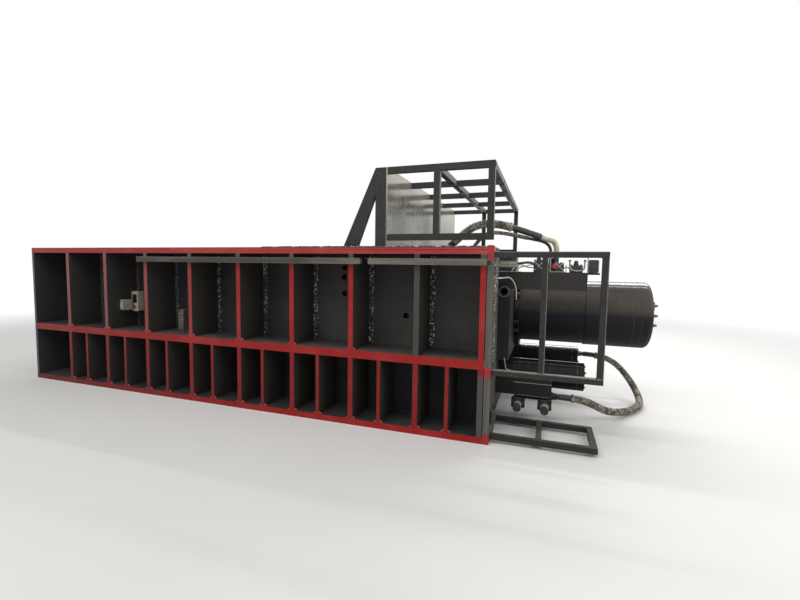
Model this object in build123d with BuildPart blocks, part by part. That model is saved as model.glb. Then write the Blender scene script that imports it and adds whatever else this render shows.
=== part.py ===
"""Gantry shear head with its hold-down clamp, lying on its feeding side as it leaves the shop.

The machine's own vertical runs along X: the foundation base is at -X and the crown with the
cylinders is at +X. The columns stand at -Y and +Y, and scrap is fed through the portal along Z.
The lower row of the columns (low Z) is the clamp bay and the upper row is the shear bay.
"""

import math
import os

from build123d import *

# Frame, all in millimetres
frame_length = 6040
frame_width = 3200
frame_depth = 1765
column_depth = 510
web_thickness = 100
web_overrun = 30
top_flange = 65
mid_flange = 80
bottom_flange = 60
clamp_bay_height = 615
base_thickness = 35
rib_thickness = 50
thin_rib_thickness = 35
last_rib_gap = 638.5
rib_count = 8
end_plate_centre = 32
head_plate_thickness = 56

# Foundation bolt holes in the base
base_hole_radius = 30
base_hole_rise = 500

# Main cylinder and its parts
main_axis_z = 1085
main_barrel_radius = 367
main_neck_radius = 357
main_bore_radius = 280
main_rod_radius = 180
main_piston_length = 200
main_flange_radius = 435
main_flange_thickness = 60
main_spigot_radius = 300
main_bolt_circle = 400
main_bolt_count = 24
main_bolt_width = 62
main_bolt_height = 52
main_neck_length = 760
main_barrel_reach = 1415
main_cap_thickness = 120
main_cap_edge = 60

# Clamp cylinders
clamp_axis_z = 445
clamp_axis_y = 520
clamp_barrel_radius = 148
clamp_bore_radius = 105
clamp_rod_radius = 70
clamp_piston_length = 100
clamp_flange_radius = 185
clamp_flange_thickness = 45
clamp_bolt_circle = 163
clamp_bolt_count = 12
clamp_bolt_width = 30
clamp_bolt_height = 26
clamp_barrel_reach = 870
clamp_barrel_inside = 700

# Crown
crown_length = 970
crown_plate = 80
crown_low_z = 100
crown_drop = 215
mount_plate_thickness = 120
mount_plate_margin = 160
mount_plate_low_z = 640

# Bed, knives and slide
bed_low = 300
bed_top = 1350
bed_pocket_count = 5
bed_wall = 60
shear_plane_z = 715
blade_clearance = 0.5
knife_thickness = 55
knife_depth = 120
knife_margin = 90
ram_rest = 2350
ram_length = 2150
ram_drop = 935
ram_rake = 125
ram_stroke = 1040
nose_reach = 1500
nose_margin = 115
liner_thickness = 30
gib_thickness = 30
gib_width = 85
guide_start = 1400
guide_end = 4700
running_gap = 0.3

# Clamp head
head_rest = 2300
head_height = 400
head_low_z = 110
head_high_z = 640
tooth_depth = 30
tooth_count = 12

# Guards, platform and trunking
guard_tube = 50
guard_tube_wall = 4
guard_length = 908
guard_start = 52
guard_low_z = 632
guard_drop = 42
guard_post_x = 475
floor_guard_tube = 50
floor_guard_z = 30
floor_guard_length = 900
floor_guard_inset = 65
floor_guard_width = 540
platform_x = 4955
platform_frame = 110
platform_plate = 10
platform_reach = 750
platform_inset = 60
rail_height = 1000
rail_tube = 58
rail_bays = 4
brace_width = 110
brace_thickness = 60
brace_foot = 340
trunking_size = 50
trunking_drop = 97
trunking_lengths = [1111, 2887]
trunking_break = 83

# Small hydraulic parts
shelf_length = 710
shelf_height = 175
shelf_width = 300
shelf_plate = 20
hose_radius = 31
pilot_hose_radius = 15
floor_hose_radius = 31
cable_radius = 6
elbow_radius = 27

# Worked out from the above
cap_fitting_reach = 60
mount_face = frame_length + web_overrun + mount_plate_thickness
rib_pitch = (frame_length - last_rib_gap - base_thickness / 2) / rib_count
overall_length = mount_face + main_barrel_reach + cap_fitting_reach
base_x = -overall_length / 2
half_width = frame_width / 2
inner_y = half_width - column_depth
web_y = inner_y + web_thickness
top_z = frame_depth - top_flange
mid_low_z = bottom_flange + clamp_bay_height
mid_high_z = mid_low_z + mid_flange
crown_high_z = frame_depth - crown_drop
shelf_top_z = crown_high_z
trunking_z = top_z - trunking_drop
guard_high_z = frame_depth - guard_drop
ram_depth = frame_depth - ram_drop
knife_half_length = inner_y - knife_margin
nose_half_width = inner_y - nose_margin
mount_plate_half_width = inner_y - mount_plate_margin
platform_half_width = half_width - platform_inset
web_end = base_x + frame_length + web_overrun
mount_x = base_x + mount_face


def at(distance):
    """Place along X of a distance measured from the foundation base."""
    return base_x + distance


def block(low, high, mode=Mode.ADD):
    """Plate or block between two corners, added to or cut from the part being built."""
    sizes = [b - a for a, b in zip(low, high)]
    with Locations(low):
        Box(*sizes, align=(Align.MIN, Align.MIN, Align.MIN), mode=mode)


def save(part, label):
    part.part.label = label
    export_step(part.part, f"parts/{label}.step")


def cross(x):
    """Workplane across the machine at x, looking along +X, with Y to the left as Z points up."""
    return Plane(origin=(x, 0, 0), x_dir=(0, 1, 0), z_dir=(1, 0, 0))


os.makedirs("parts", exist_ok=True)

# Foundation bolts pass through the base into the outer cells of the foot beam
beam_wall = 60
beam_pockets = 3
pocket_y = (2 * inner_y - beam_wall * (beam_pockets + 1)) / beam_pockets
pocket_z = (top_z - mid_high_z) - 2 * beam_wall
beam_mid_z = (mid_high_z + top_z) / 2


def bolt_holes(start, depth):
    """Round solids in the places of the foundation bolts, to be cut from a plate."""
    with BuildPart() as holes:
        with BuildSketch(cross(start)):
            with Locations((0, beam_mid_z)):
                with GridLocations(2 * (pocket_y + beam_wall), base_hole_rise, 2, 2):
                    Circle(base_hole_radius)
        extrude(amount=depth)
    return holes.part


with BuildPart() as base_plate:
    block((base_x, -half_width, bottom_flange), (at(base_thickness), half_width, top_z))
    add(bolt_holes(base_x, base_thickness), mode=Mode.SUBTRACT)
save(base_plate, "base_plate")

# Column webs, with round cable ports in the near one, placed in bays counted from the first rib
first_rib = at(base_thickness / 2) + rib_pitch
port_radius = 32
port_places = [(5.6, 137), (5.59, 238), (5.6, 418), (6.65, 625)]
with BuildPart() as column_webs:
    block((at(base_thickness), -web_y, bottom_flange), (web_end, -inner_y, top_z))
    block((at(base_thickness), inner_y, bottom_flange), (web_end, web_y, top_z))
    with BuildSketch(Plane.XZ.offset(inner_y)):
        with Locations([(first_rib + bays * rib_pitch, top_z - drop) for bays, drop in port_places]):
            Circle(port_radius)
    extrude(amount=web_thickness, mode=Mode.SUBTRACT)
save(column_webs, "column_webs")


def flange_pair(label, start, low_z, thickness, inner):
    """The flange plates of both columns at one height."""
    with BuildPart() as flange:
        block((start, -half_width, low_z), (at(frame_length), -inner, low_z + thickness))
        mirror(about=Plane.XZ)
    save(flange, label)


flange_pair("top_flanges", base_x, top_z, top_flange, inner_y)
flange_pair("mid_flanges", at(base_thickness), mid_low_z, mid_flange, web_y)
flange_pair("bottom_flanges", base_x, 0, bottom_flange, inner_y)


def rib_row(label, first, thickness, low_z, high_z, count):
    """Equal cross ribs along both columns, between two flanges."""
    with BuildPart() as ribs:
        for number in range(count):
            centre = first + number * rib_pitch
            block(
                (centre - thickness / 2, -half_width, low_z),
                (centre + thickness / 2, -web_y, high_z),
            )
        mirror(about=Plane.XZ)
    save(ribs, label)


rib_row("shear_bay_ribs", first_rib, rib_thickness, mid_high_z, top_z, rib_count)
rib_row("clamp_bay_ribs", first_rib, rib_thickness, bottom_flange, mid_low_z, rib_count)
thin_first = first_rib + rib_pitch / 2 - 35
rib_row(
    "clamp_bay_thin_ribs", thin_first, thin_rib_thickness, bottom_flange, mid_low_z, rib_count
)

# End plates that close both rows under the crown
end_centre = at(frame_length - end_plate_centre)
with BuildPart() as end_plates:
    for low_z, high_z in ((bottom_flange, mid_low_z), (mid_high_z, top_z)):
        block(
            (end_centre - rib_thickness / 2, -half_width, low_z),
            (end_centre + rib_thickness / 2, -web_y, high_z),
        )
    mirror(about=Plane.XZ)
save(end_plates, "column_end_plates")

# Rounded blocks in line with the flanges, let into the head plates that close the column ends
head_x0 = at(frame_length)
head_x1 = head_x0 + head_plate_thickness
end_block_depth = 80
end_block_heights = [(0, 95), (mid_low_z - 70, mid_low_z + 22), (top_z - 45, frame_depth + 13)]
end_block_round = 16
block_back = -half_width + end_block_depth
with BuildPart() as end_blocks:
    for low_z, high_z in end_block_heights:
        block((head_x0, -half_width, low_z), (head_x1, block_back, high_z))
    corner_edges = end_blocks.edges().filter_by(Axis.Y).group_by(Axis.X)[-1]
    fillet(corner_edges, end_block_round)
    mirror(about=Plane.XZ)
save(end_blocks, "flange_end_blocks")

with BuildPart() as head_plates:
    block((head_x0, -half_width, 0), (head_x1, -web_y, frame_depth))
    for low_z, high_z in end_block_heights:
        block((head_x0, -half_width, low_z), (head_x1, block_back, high_z), Mode.SUBTRACT)
    mirror(about=Plane.XZ)
save(head_plates, "column_head_plates")

# Cross beam between the column feet
foot_beam_top = bed_low
with BuildPart() as foot_beam:
    block((at(base_thickness), -inner_y, bottom_flange), (at(foot_beam_top), inner_y, top_z))
    with BuildSketch(cross(at(foot_beam_top))):
        with Locations((0, beam_mid_z)):
            with GridLocations(pocket_y + beam_wall, 1, beam_pockets, 1):
                RectangleRounded(pocket_y, pocket_z, 40)
    extrude(amount=-(foot_beam_top - base_thickness - beam_wall), mode=Mode.SUBTRACT)
    add(bolt_holes(at(base_thickness), beam_wall), mode=Mode.SUBTRACT)
save(foot_beam, "foot_beam")

# Bed beam under the clamp, open cells towards the feeding side
bed_high_z = shear_plane_z - knife_thickness
with BuildPart() as bed_beam:
    block((at(bed_low), -inner_y, bottom_flange), (at(bed_top), inner_y, bed_high_z))
    cell_y = (2 * inner_y - bed_wall * (bed_pocket_count + 1)) / bed_pocket_count
    cell_x = bed_top - bed_low - 2 * bed_wall
    with BuildSketch(Plane.XY.offset(bottom_flange)):
        with Locations((at((bed_low + bed_top) / 2), 0)):
            with GridLocations(1, cell_y + bed_wall, 1, bed_pocket_count):
                RectangleRounded(cell_x, cell_y, 50)
    extrude(amount=bed_high_z - bottom_flange - bed_wall, mode=Mode.SUBTRACT)
save(bed_beam, "bed_beam")

# Knife blades with sunk bolts, straight on the bed and raked both ways on the slide
knife_bolt_radius = 24
knife_head_depth = 26
knife_bolt_gap = 0.5
knives_per_side = 2
bolts_per_knife = 3
segment = knife_half_length / knives_per_side
knife_joint = 1.0
bolt_offsets = [
    (side * segment + (step + 0.5) * segment / bolts_per_knife)
    for side in range(knives_per_side)
    for step in range(bolts_per_knife)
]
with BuildPart() as lower_knives:
    for number in range(knives_per_side):
        block(
            (at(bed_top - knife_depth), number * segment + knife_joint / 2, bed_high_z),
            (at(bed_top), (number + 1) * segment - knife_joint / 2, shear_plane_z),
        )
    mirror(about=Plane.XZ)
    with BuildSketch(Plane.XY.offset(shear_plane_z)):
        for offset in bolt_offsets:
            with Locations(
                (at(bed_top - knife_depth / 2), offset), (at(bed_top - knife_depth / 2), -offset)
            ):
                Circle(knife_bolt_radius + knife_bolt_gap)
    extrude(amount=-knife_head_depth, mode=Mode.SUBTRACT)
save(lower_knives, "lower_knives")

with BuildPart() as lower_knife_bolts:
    with BuildSketch(Plane.XY.offset(shear_plane_z - knife_head_depth)):
        for offset in bolt_offsets:
            with Locations(
                (at(bed_top - knife_depth / 2), offset), (at(bed_top - knife_depth / 2), -offset)
            ):
                Circle(knife_bolt_radius)
                RegularPolygon(knife_bolt_radius * 0.55, 6, mode=Mode.SUBTRACT)
    extrude(amount=knife_head_depth - 2)
save(lower_knife_bolts, "lower_knife_bolts")

# Knife slide: a deep plate with a swallow-tail lower edge, its nose and weight pockets
guide_y = inner_y - liner_thickness
ram_half = guide_y - running_gap
knife_face_z = shear_plane_z + blade_clearance
ram_low_z = knife_face_z + knife_thickness
ram_high_z = ram_low_z + ram_depth
rake_slope = ram_rake / knife_half_length


def rake_x(y, extra=0):
    """Lower edge of the slide at a distance y from the middle."""
    return at(ram_rest) + ram_rake + extra - rake_slope * min(abs(y), knife_half_length)


def raked_outline(half, extra, end):
    return [
        (end, -half),
        (rake_x(half, extra), -half),
        (rake_x(knife_half_length, extra), -min(half, knife_half_length)),
        (rake_x(0, extra), 0),
        (rake_x(knife_half_length, extra), min(half, knife_half_length)),
        (rake_x(half, extra), half),
        (end, half),
    ]


ram_end = at(ram_rest + ram_length)
pocket_columns = 4
pocket_rows = 3
ram_wall = 90
pocket_round = 45
ram_pocket_depth = 420
with BuildPart() as ram:
    with BuildSketch(Plane.XY.offset(ram_low_z)):
        with BuildLine():
            Polyline(*raked_outline(ram_half, 0, ram_end), close=True)
        make_face()
    extrude(amount=ram_depth)
    nose_points = [
        (at(ram_rest + nose_reach), -nose_half_width),
        (rake_x(nose_half_width, knife_depth), -nose_half_width),
        (rake_x(0, knife_depth), 0),
        (rake_x(nose_half_width, knife_depth), nose_half_width),
        (at(ram_rest + nose_reach), nose_half_width),
    ]
    with BuildSketch(Plane.XY.offset(knife_face_z + 1)):
        with BuildLine():
            Polyline(*nose_points, close=True)
        make_face()
    extrude(amount=knife_thickness - 1)
    pockets_x = ram_length - ram_rake - 3 * ram_wall
    pocket_x = (pockets_x - ram_wall * (pocket_rows - 1)) / pocket_rows
    pocket_w = (2 * ram_half - ram_wall * (pocket_columns + 1)) / pocket_columns
    with BuildSketch(Plane.XY.offset(ram_high_z)):
        with Locations((ram_end - ram_wall - pockets_x / 2, 0)):
            with GridLocations(
                pocket_x + ram_wall, pocket_w + ram_wall, pocket_rows, pocket_columns
            ):
                RectangleRounded(pocket_x, pocket_w, pocket_round)
    extrude(amount=-ram_pocket_depth, mode=Mode.SUBTRACT)
save(ram, "knife_slide")


def raked_blade(start_y, end_y):
    return [
        (rake_x(start_y), start_y),
        (rake_x(end_y), end_y),
        (rake_x(end_y, knife_depth), end_y),
        (rake_x(start_y, knife_depth), start_y),
    ]


with BuildPart() as upper_knives:
    with BuildSketch(Plane.XY.offset(knife_face_z)):
        for number in range(knives_per_side):
            with BuildLine():
                Polyline(
                    *raked_blade(
                        number * segment + knife_joint / 2, (number + 1) * segment - knife_joint
                    ),
                    close=True,
                )
            make_face()
        for offset in bolt_offsets:
            with Locations((rake_x(offset, knife_depth / 2), offset)):
                Circle(knife_bolt_radius + knife_bolt_gap, mode=Mode.SUBTRACT)
    extrude(amount=knife_head_depth)
    with BuildSketch(Plane.XY.offset(knife_face_z + knife_head_depth)):
        for number in range(knives_per_side):
            with BuildLine():
                Polyline(
                    *raked_blade(
                        number * segment + knife_joint / 2, (number + 1) * segment - knife_joint
                    ),
                    close=True,
                )
            make_face()
    extrude(amount=knife_thickness - knife_head_depth)
    mirror(about=Plane.XZ)
save(upper_knives, "upper_knives")

with BuildPart() as upper_knife_bolts:
    with BuildSketch(Plane.XY.offset(knife_face_z + 2)):
        for offset in bolt_offsets:
            with Locations((rake_x(offset, knife_depth / 2), offset)):
                Circle(knife_bolt_radius)
                RegularPolygon(knife_bolt_radius * 0.55, 6, mode=Mode.SUBTRACT)
    extrude(amount=knife_head_depth - 2)
    mirror(about=Plane.XZ)
save(upper_knife_bolts, "upper_knife_bolts")

# Guides of the slide: side liners and the gib bars before and behind its edges
with BuildPart() as side_liners:
    block((at(guide_start), guide_y, ram_low_z + 20), (at(guide_end), inner_y, ram_high_z - 20))
    block((at(guide_start), guide_y, head_low_z + 20), (at(guide_end), inner_y, head_high_z - 20))
    mirror(about=Plane.XZ)
save(side_liners, "side_liners")

gib_places = (ram_low_z - running_gap - gib_thickness, ram_high_z + running_gap)
with BuildPart() as gib_bars:
    for low_z in gib_places:
        block(
            (at(guide_start), inner_y - gib_width, low_z),
            (at(guide_end), inner_y, low_z + gib_thickness),
        )
    mirror(about=Plane.XZ)
save(gib_bars, "gib_bars")

# Main rod with its piston and the split ring that holds it to the slide
ring_radius = 270
ring_height = 90
rod_collar = 60
piston_gap = 0.1
piston_stop = 10
piston_end = mount_x + main_barrel_reach - main_cap_thickness - piston_stop
rod_axis = Plane(origin=(0, 0, main_axis_z), x_dir=(0, 1, 0), z_dir=(1, 0, 0))
with BuildPart() as main_rod:
    with BuildSketch(rod_axis.offset(ram_end)):
        Circle(main_rod_radius)
    extrude(amount=piston_end - ram_end)
    with BuildSketch(rod_axis.offset(ram_end)):
        Circle(main_rod_radius + rod_collar / 2)
    extrude(amount=rod_collar)
    with BuildSketch(rod_axis.offset(piston_end - main_piston_length)):
        Circle(main_bore_radius - piston_gap)
    extrude(amount=main_piston_length)
save(main_rod, "main_rod")

ring_bolts = 8
ring_bolt_width = 46
with BuildPart() as rod_ring:
    with BuildSketch(rod_axis.offset(ram_end)):
        Circle(ring_radius)
        Circle(main_rod_radius + rod_collar / 2 + 1, mode=Mode.SUBTRACT)
        Rectangle(2 * ring_radius + 2, 4, mode=Mode.SUBTRACT)
    extrude(amount=rod_collar)
    with BuildSketch(rod_axis.offset(ram_end + rod_collar)):
        Circle(ring_radius)
        Circle(main_rod_radius + 1, mode=Mode.SUBTRACT)
        Rectangle(2 * ring_radius + 2, 4, mode=Mode.SUBTRACT)
    extrude(amount=ring_height - rod_collar)
    with BuildSketch(rod_axis.offset(ram_end + ring_height)):
        with PolarLocations((ring_radius + main_rod_radius + 30) / 2, ring_bolts, 22.5):
            RegularPolygon(ring_bolt_width / 2, 6)
    extrude(amount=24)
save(rod_ring, "rod_clamp_ring")

# Crown: two heavy cross plates joined by face plates and ribs
crown_start = at(frame_length + web_overrun - crown_length)


def crown_cross_plate(label, start, main_hole, clamp_hole):
    with BuildPart() as plate:
        block((start, -inner_y, crown_low_z), (start + crown_plate, inner_y, crown_high_z))
        with BuildSketch(cross(start)):
            with Locations((0, main_axis_z)):
                Circle(main_hole)
            with Locations((-clamp_axis_y, clamp_axis_z), (clamp_axis_y, clamp_axis_z)):
                Circle(clamp_hole)
        extrude(amount=crown_plate, mode=Mode.SUBTRACT)
    save(plate, label)


flange_fit = 0.5
barrel_hole = clamp_barrel_radius + flange_fit
crown_cross_plate("crown_lower_plate", crown_start, ring_radius + 30, barrel_hole)
crown_cross_plate(
    "crown_upper_plate", web_end - crown_plate, main_spigot_radius + flange_fit, barrel_hole
)

face_plate = 60
rib_y_places = [300, 760]
with BuildPart() as crown_faces:
    for low_z in (crown_low_z, crown_high_z - face_plate):
        block(
            (crown_start + crown_plate, -inner_y, low_z),
            (web_end - crown_plate, inner_y, low_z + face_plate),
        )
save(crown_faces, "crown_face_plates")

with BuildPart() as crown_ribs:
    for rib_y in rib_y_places:
        block(
            (crown_start + crown_plate, rib_y, crown_low_z + face_plate),
            (web_end - crown_plate, rib_y + face_plate, crown_high_z - face_plate),
        )
    mirror(about=Plane.XZ)
save(crown_ribs, "crown_ribs")

# Mounting plate of the main cylinder, with a sunk seat for the flange and a lifting boss
boss_radius = 58
boss_hole = 30
boss_x = web_end + mount_plate_thickness / 2
boss_z = crown_high_z - 203
boss_height = 25
with BuildPart() as mount_plate:
    block(
        (web_end, -mount_plate_half_width, mount_plate_low_z),
        (mount_x, mount_plate_half_width, crown_high_z),
    )
    with BuildSketch(rod_axis.offset(web_end)):
        Circle(main_spigot_radius + flange_fit)
    extrude(amount=mount_plate_thickness, mode=Mode.SUBTRACT)
    with BuildSketch(rod_axis.offset(mount_x)):
        Circle(main_flange_radius + flange_fit)
    extrude(amount=-main_flange_thickness, mode=Mode.SUBTRACT)
    with BuildSketch(Plane.XZ.offset(mount_plate_half_width)):
        with Locations((boss_x, boss_z)):
            Circle(boss_radius)
    extrude(amount=boss_height)
    with BuildSketch(Plane.XZ.offset(mount_plate_half_width + boss_height)):
        with Locations((boss_x, boss_z)):
            Circle(boss_hole)
    extrude(amount=-80, mode=Mode.SUBTRACT)
save(mount_plate, "cylinder_mount_plate")

# Main cylinder barrel, turned from a half section about its axis
barrel_end = mount_x + main_barrel_reach
bore_end = piston_end + piston_stop
gland_end = mount_x + 40
flange_back = mount_x - main_flange_thickness
spigot_start = web_end - crown_plate
neck_end = mount_x + main_neck_length
gland_radius = main_rod_radius + piston_gap
main_section = [
    (spigot_start, gland_radius),
    (gland_end, gland_radius),
    (gland_end, main_bore_radius),
    (bore_end, main_bore_radius),
    (bore_end, 0),
    (barrel_end, 0),
    (barrel_end, main_barrel_radius),
    (neck_end, main_barrel_radius),
    (neck_end, main_neck_radius),
    (mount_x + 8, main_neck_radius),
    (mount_x + 8, main_flange_radius),
    (flange_back, main_flange_radius),
    (flange_back, main_spigot_radius),
    (spigot_start, main_spigot_radius),
]


def turned(points, axis_y, axis_z):
    """Solid turned about an axis along X through axis_y, axis_z."""
    plane = Plane(origin=(0, axis_y, axis_z), x_dir=(1, 0, 0), z_dir=(0, -1, 0))
    with BuildPart() as shape:
        with BuildSketch(plane):
            with BuildLine():
                Polyline(*points, close=True)
            make_face()
        revolve(axis=Axis((0, axis_y, axis_z), (1, 0, 0)))
    return shape.part


with BuildPart() as main_cylinder:
    add(turned(main_section, 0, main_axis_z))
    cap_edge = main_cylinder.edges().filter_by(GeomType.CIRCLE).group_by(Axis.X)[-1]
    fillet(cap_edge, main_cap_edge)
save(main_cylinder, "main_cylinder")

with BuildPart() as main_bolts:
    with BuildSketch(rod_axis.offset(mount_x + 8)):
        with PolarLocations(main_bolt_circle, main_bolt_count):
            RegularPolygon(main_bolt_width / 2, 6)
    extrude(amount=main_bolt_height)
save(main_bolts, "main_flange_bolts")

# Port block and pipe stub on the cap of the main cylinder
port_block = 90
with BuildPart() as cap_port:
    block(
        (barrel_end, -port_block / 2, main_axis_z + 60),
        (barrel_end + cap_fitting_reach, port_block / 2, main_axis_z + 60 + port_block),
    )
save(cap_port, "cap_port_block")

# Clamp cylinders with rods and pistons
clamp_start = web_end - clamp_barrel_inside
clamp_end = web_end + clamp_barrel_reach
clamp_bore_start = clamp_start + 70
clamp_bore_end = clamp_end - 60
clamp_gland = clamp_rod_radius + piston_gap
clamp_section = [
    (clamp_start, clamp_gland),
    (clamp_bore_start, clamp_gland),
    (clamp_bore_start, clamp_bore_radius),
    (clamp_bore_end, clamp_bore_radius),
    (clamp_bore_end, 0),
    (clamp_end, 0),
    (clamp_end, clamp_barrel_radius),
    (web_end + clamp_flange_thickness, clamp_barrel_radius),
    (web_end + clamp_flange_thickness, clamp_flange_radius),
    (web_end, clamp_flange_radius),
    (web_end, clamp_barrel_radius),
    (clamp_start, clamp_barrel_radius),
]
with BuildPart() as clamp_cylinders:
    add(turned(clamp_section, clamp_axis_y, clamp_axis_z))
    mirror(about=Plane.XZ)
save(clamp_cylinders, "clamp_cylinders")

with BuildPart() as clamp_bolts:
    with BuildSketch(cross(web_end + clamp_flange_thickness)):
        with Locations((-clamp_axis_y, clamp_axis_z), (clamp_axis_y, clamp_axis_z)):
            with PolarLocations(clamp_bolt_circle, clamp_bolt_count):
                RegularPolygon(clamp_bolt_width / 2, 6)
    extrude(amount=clamp_bolt_height)
save(clamp_bolts, "clamp_flange_bolts")

head_end = at(head_rest + head_height)
clamp_piston_end = clamp_bore_end - piston_stop
with BuildPart() as clamp_rods:
    with BuildSketch(cross(head_end)):
        with Locations((-clamp_axis_y, clamp_axis_z), (clamp_axis_y, clamp_axis_z)):
            Circle(clamp_rod_radius)
    extrude(amount=clamp_piston_end - head_end)
    with BuildSketch(cross(clamp_piston_end - clamp_piston_length)):
        with Locations((-clamp_axis_y, clamp_axis_z), (clamp_axis_y, clamp_axis_z)):
            Circle(clamp_bore_radius - piston_gap)
    extrude(amount=clamp_piston_length)
save(clamp_rods, "clamp_rods")

# Clamp head with a toothed foot
head_half = guide_y - running_gap
tooth_pitch = 2 * (head_half - 60) / tooth_count
head_pocket_round = 40
with BuildPart() as clamp_head:
    foot_points = [(head_end, -head_half), (at(head_rest) + tooth_depth, -head_half)]
    for number in range(tooth_count):
        tooth_start = -head_half + 60 + number * tooth_pitch
        foot_points.append((at(head_rest) + tooth_depth, tooth_start))
        foot_points.append((at(head_rest), tooth_start + tooth_pitch / 2))
    foot_points.append((at(head_rest) + tooth_depth, head_half - 60))
    foot_points.append((at(head_rest) + tooth_depth, head_half))
    foot_points.append((head_end, head_half))
    with BuildSketch(Plane.XY.offset(head_low_z)):
        with BuildLine():
            Polyline(*foot_points, close=True)
        make_face()
    extrude(amount=head_high_z - head_low_z)
    pocket_depth_z = 150
    with BuildSketch(Plane.XY.offset(head_low_z)):
        with Locations((at(head_rest + head_height / 2 + 30), 0)):
            with GridLocations(1, 2 * head_half / 4, 1, 4):
                RectangleRounded(head_height - 180, 2 * head_half / 4 - 110, head_pocket_round)
    extrude(amount=pocket_depth_z, mode=Mode.SUBTRACT)
save(clamp_head, "clamp_head")


def tube_run(start, end, size, wall):
    """Square tube along one axis between the centres of its end faces."""
    length = Vector(*end) - Vector(*start)
    plane = Plane(origin=start, z_dir=length.normalized())
    with BuildPart() as tube:
        with BuildSketch(plane):
            Rectangle(size, size)
            Rectangle(size - 2 * wall, size - 2 * wall, mode=Mode.SUBTRACT)
        extrude(amount=length.length)
    return tube.part


# Trunking along the near column
with BuildPart() as trunking:
    trunking_end = head_x0
    for length in trunking_lengths:
        block(
            (trunking_end - length, -half_width - trunking_size, trunking_z),
            (trunking_end, -half_width, trunking_z + trunking_size),
        )
        trunking_end -= length + trunking_break
save(trunking, "cable_trunking")

# Guard frame at the near side of the crown
guard_y = -half_width + 20 + guard_tube / 2
guard_x0 = head_x1
guard_x1 = at(frame_length + guard_start + guard_length)
rail_z_low = guard_low_z + guard_tube / 2
rail_z_high = guard_high_z - guard_tube / 2
half_tube = guard_tube / 2
post_places = [at(frame_length + guard_post_x), guard_x1 - half_tube]
with BuildPart() as end_guard:
    for rail_z in (rail_z_low, rail_z_high):
        add(tube_run((guard_x0, guard_y, rail_z), (guard_x1, guard_y, rail_z), guard_tube, guard_tube_wall))
    for post_x in post_places:
        add(
            tube_run(
                (post_x, guard_y, rail_z_low + half_tube),
                (post_x, guard_y, rail_z_high - half_tube),
                guard_tube,
                guard_tube_wall,
            )
        )
save(end_guard, "crown_end_guard")

# Flat guard frame near the floor side of the crown
low_half = floor_guard_tube / 2
low_z = floor_guard_z + low_half
low_x1 = at(frame_length + guard_start + floor_guard_length)
near_rail_y = -half_width + floor_guard_inset + low_half
far_rail_y = near_rail_y - floor_guard_tube + floor_guard_width
with BuildPart() as floor_guard:
    add(tube_run((guard_x0, near_rail_y, low_z), (low_x1, near_rail_y, low_z), floor_guard_tube, 4))
    add(tube_run((web_end, far_rail_y, low_z), (low_x1, far_rail_y, low_z), floor_guard_tube, 4))
    for bar_x in (post_places[0], low_x1 - low_half):
        add(
            tube_run(
                (bar_x, near_rail_y + low_half, low_z),
                (bar_x, far_rail_y - low_half, low_z),
                floor_guard_tube,
                4,
            )
        )
save(floor_guard, "floor_side_guard")


# Walkway on the top side of the crown: channel frame, plate, braces and railing
floor_x = at(platform_x)
plate_x = floor_x + platform_frame
platform_top_z = frame_depth + platform_reach
channel_width = 50
channel_wall = 8
rail_y = platform_half_width - rail_tube / 2


def channel(start, end, open_side):
    """Channel laid across X with its web outwards; open_side points into its hollow."""
    run = Vector(*end) - Vector(*start)
    plane = Plane(origin=start, x_dir=(1, 0, 0), z_dir=run.normalized())
    hollow = Vector(*open_side).dot(plane.y_dir) * channel_wall
    with BuildPart() as bar:
        with BuildSketch(plane):
            Rectangle(platform_frame, channel_width)
            with Locations((0, hollow)):
                Rectangle(platform_frame - 2 * channel_wall, channel_width, mode=Mode.SUBTRACT)
        extrude(amount=run.length)
    return bar.part


frame_mid_x = floor_x + platform_frame / 2
edge_y = platform_half_width - channel_width / 2
edge_z = platform_top_z - channel_width / 2
inner_z = frame_depth + channel_width / 2
with BuildPart() as platform_frame_part:
    for side in (-1, 1):
        add(
            channel(
                (frame_mid_x, side * edge_y, frame_depth),
                (frame_mid_x, side * edge_y, platform_top_z),
                (0, -side, 0),
            )
        )
    span = platform_half_width - channel_width
    for z, hollow_z in ((edge_z, -1), (inner_z, 1)):
        add(channel((frame_mid_x, -span, z), (frame_mid_x, span, z), (0, 0, hollow_z)))
    for step in (-1, 0, 1):
        middle_y = step * rail_y * 2 / rail_bays
        add(
            channel(
                (frame_mid_x, middle_y, inner_z + channel_width / 2),
                (frame_mid_x, middle_y, edge_z - channel_width / 2),
                (0, 1, 0),
            )
        )
save(platform_frame_part, "platform_frame")

with BuildPart() as platform_floor:
    block(
        (plate_x, -platform_half_width, frame_depth),
        (plate_x + platform_plate, platform_half_width, platform_top_z),
    )
save(platform_floor, "platform_floor")

brace_shape = [
    (floor_x - brace_foot, frame_depth),
    (floor_x - brace_foot + 1.3 * brace_width, frame_depth),
    (floor_x, platform_top_z - 2.1 * brace_width),
    (floor_x, platform_top_z),
]
with BuildPart() as platform_braces:
    for brace_y in (-rail_y, 0, rail_y):
        with BuildSketch(Plane.XZ.offset(-brace_y - brace_thickness / 2)):
            with BuildLine():
                Polyline(*brace_shape, close=True)
            make_face()
    extrude(amount=brace_thickness)
save(platform_braces, "platform_braces")

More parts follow.
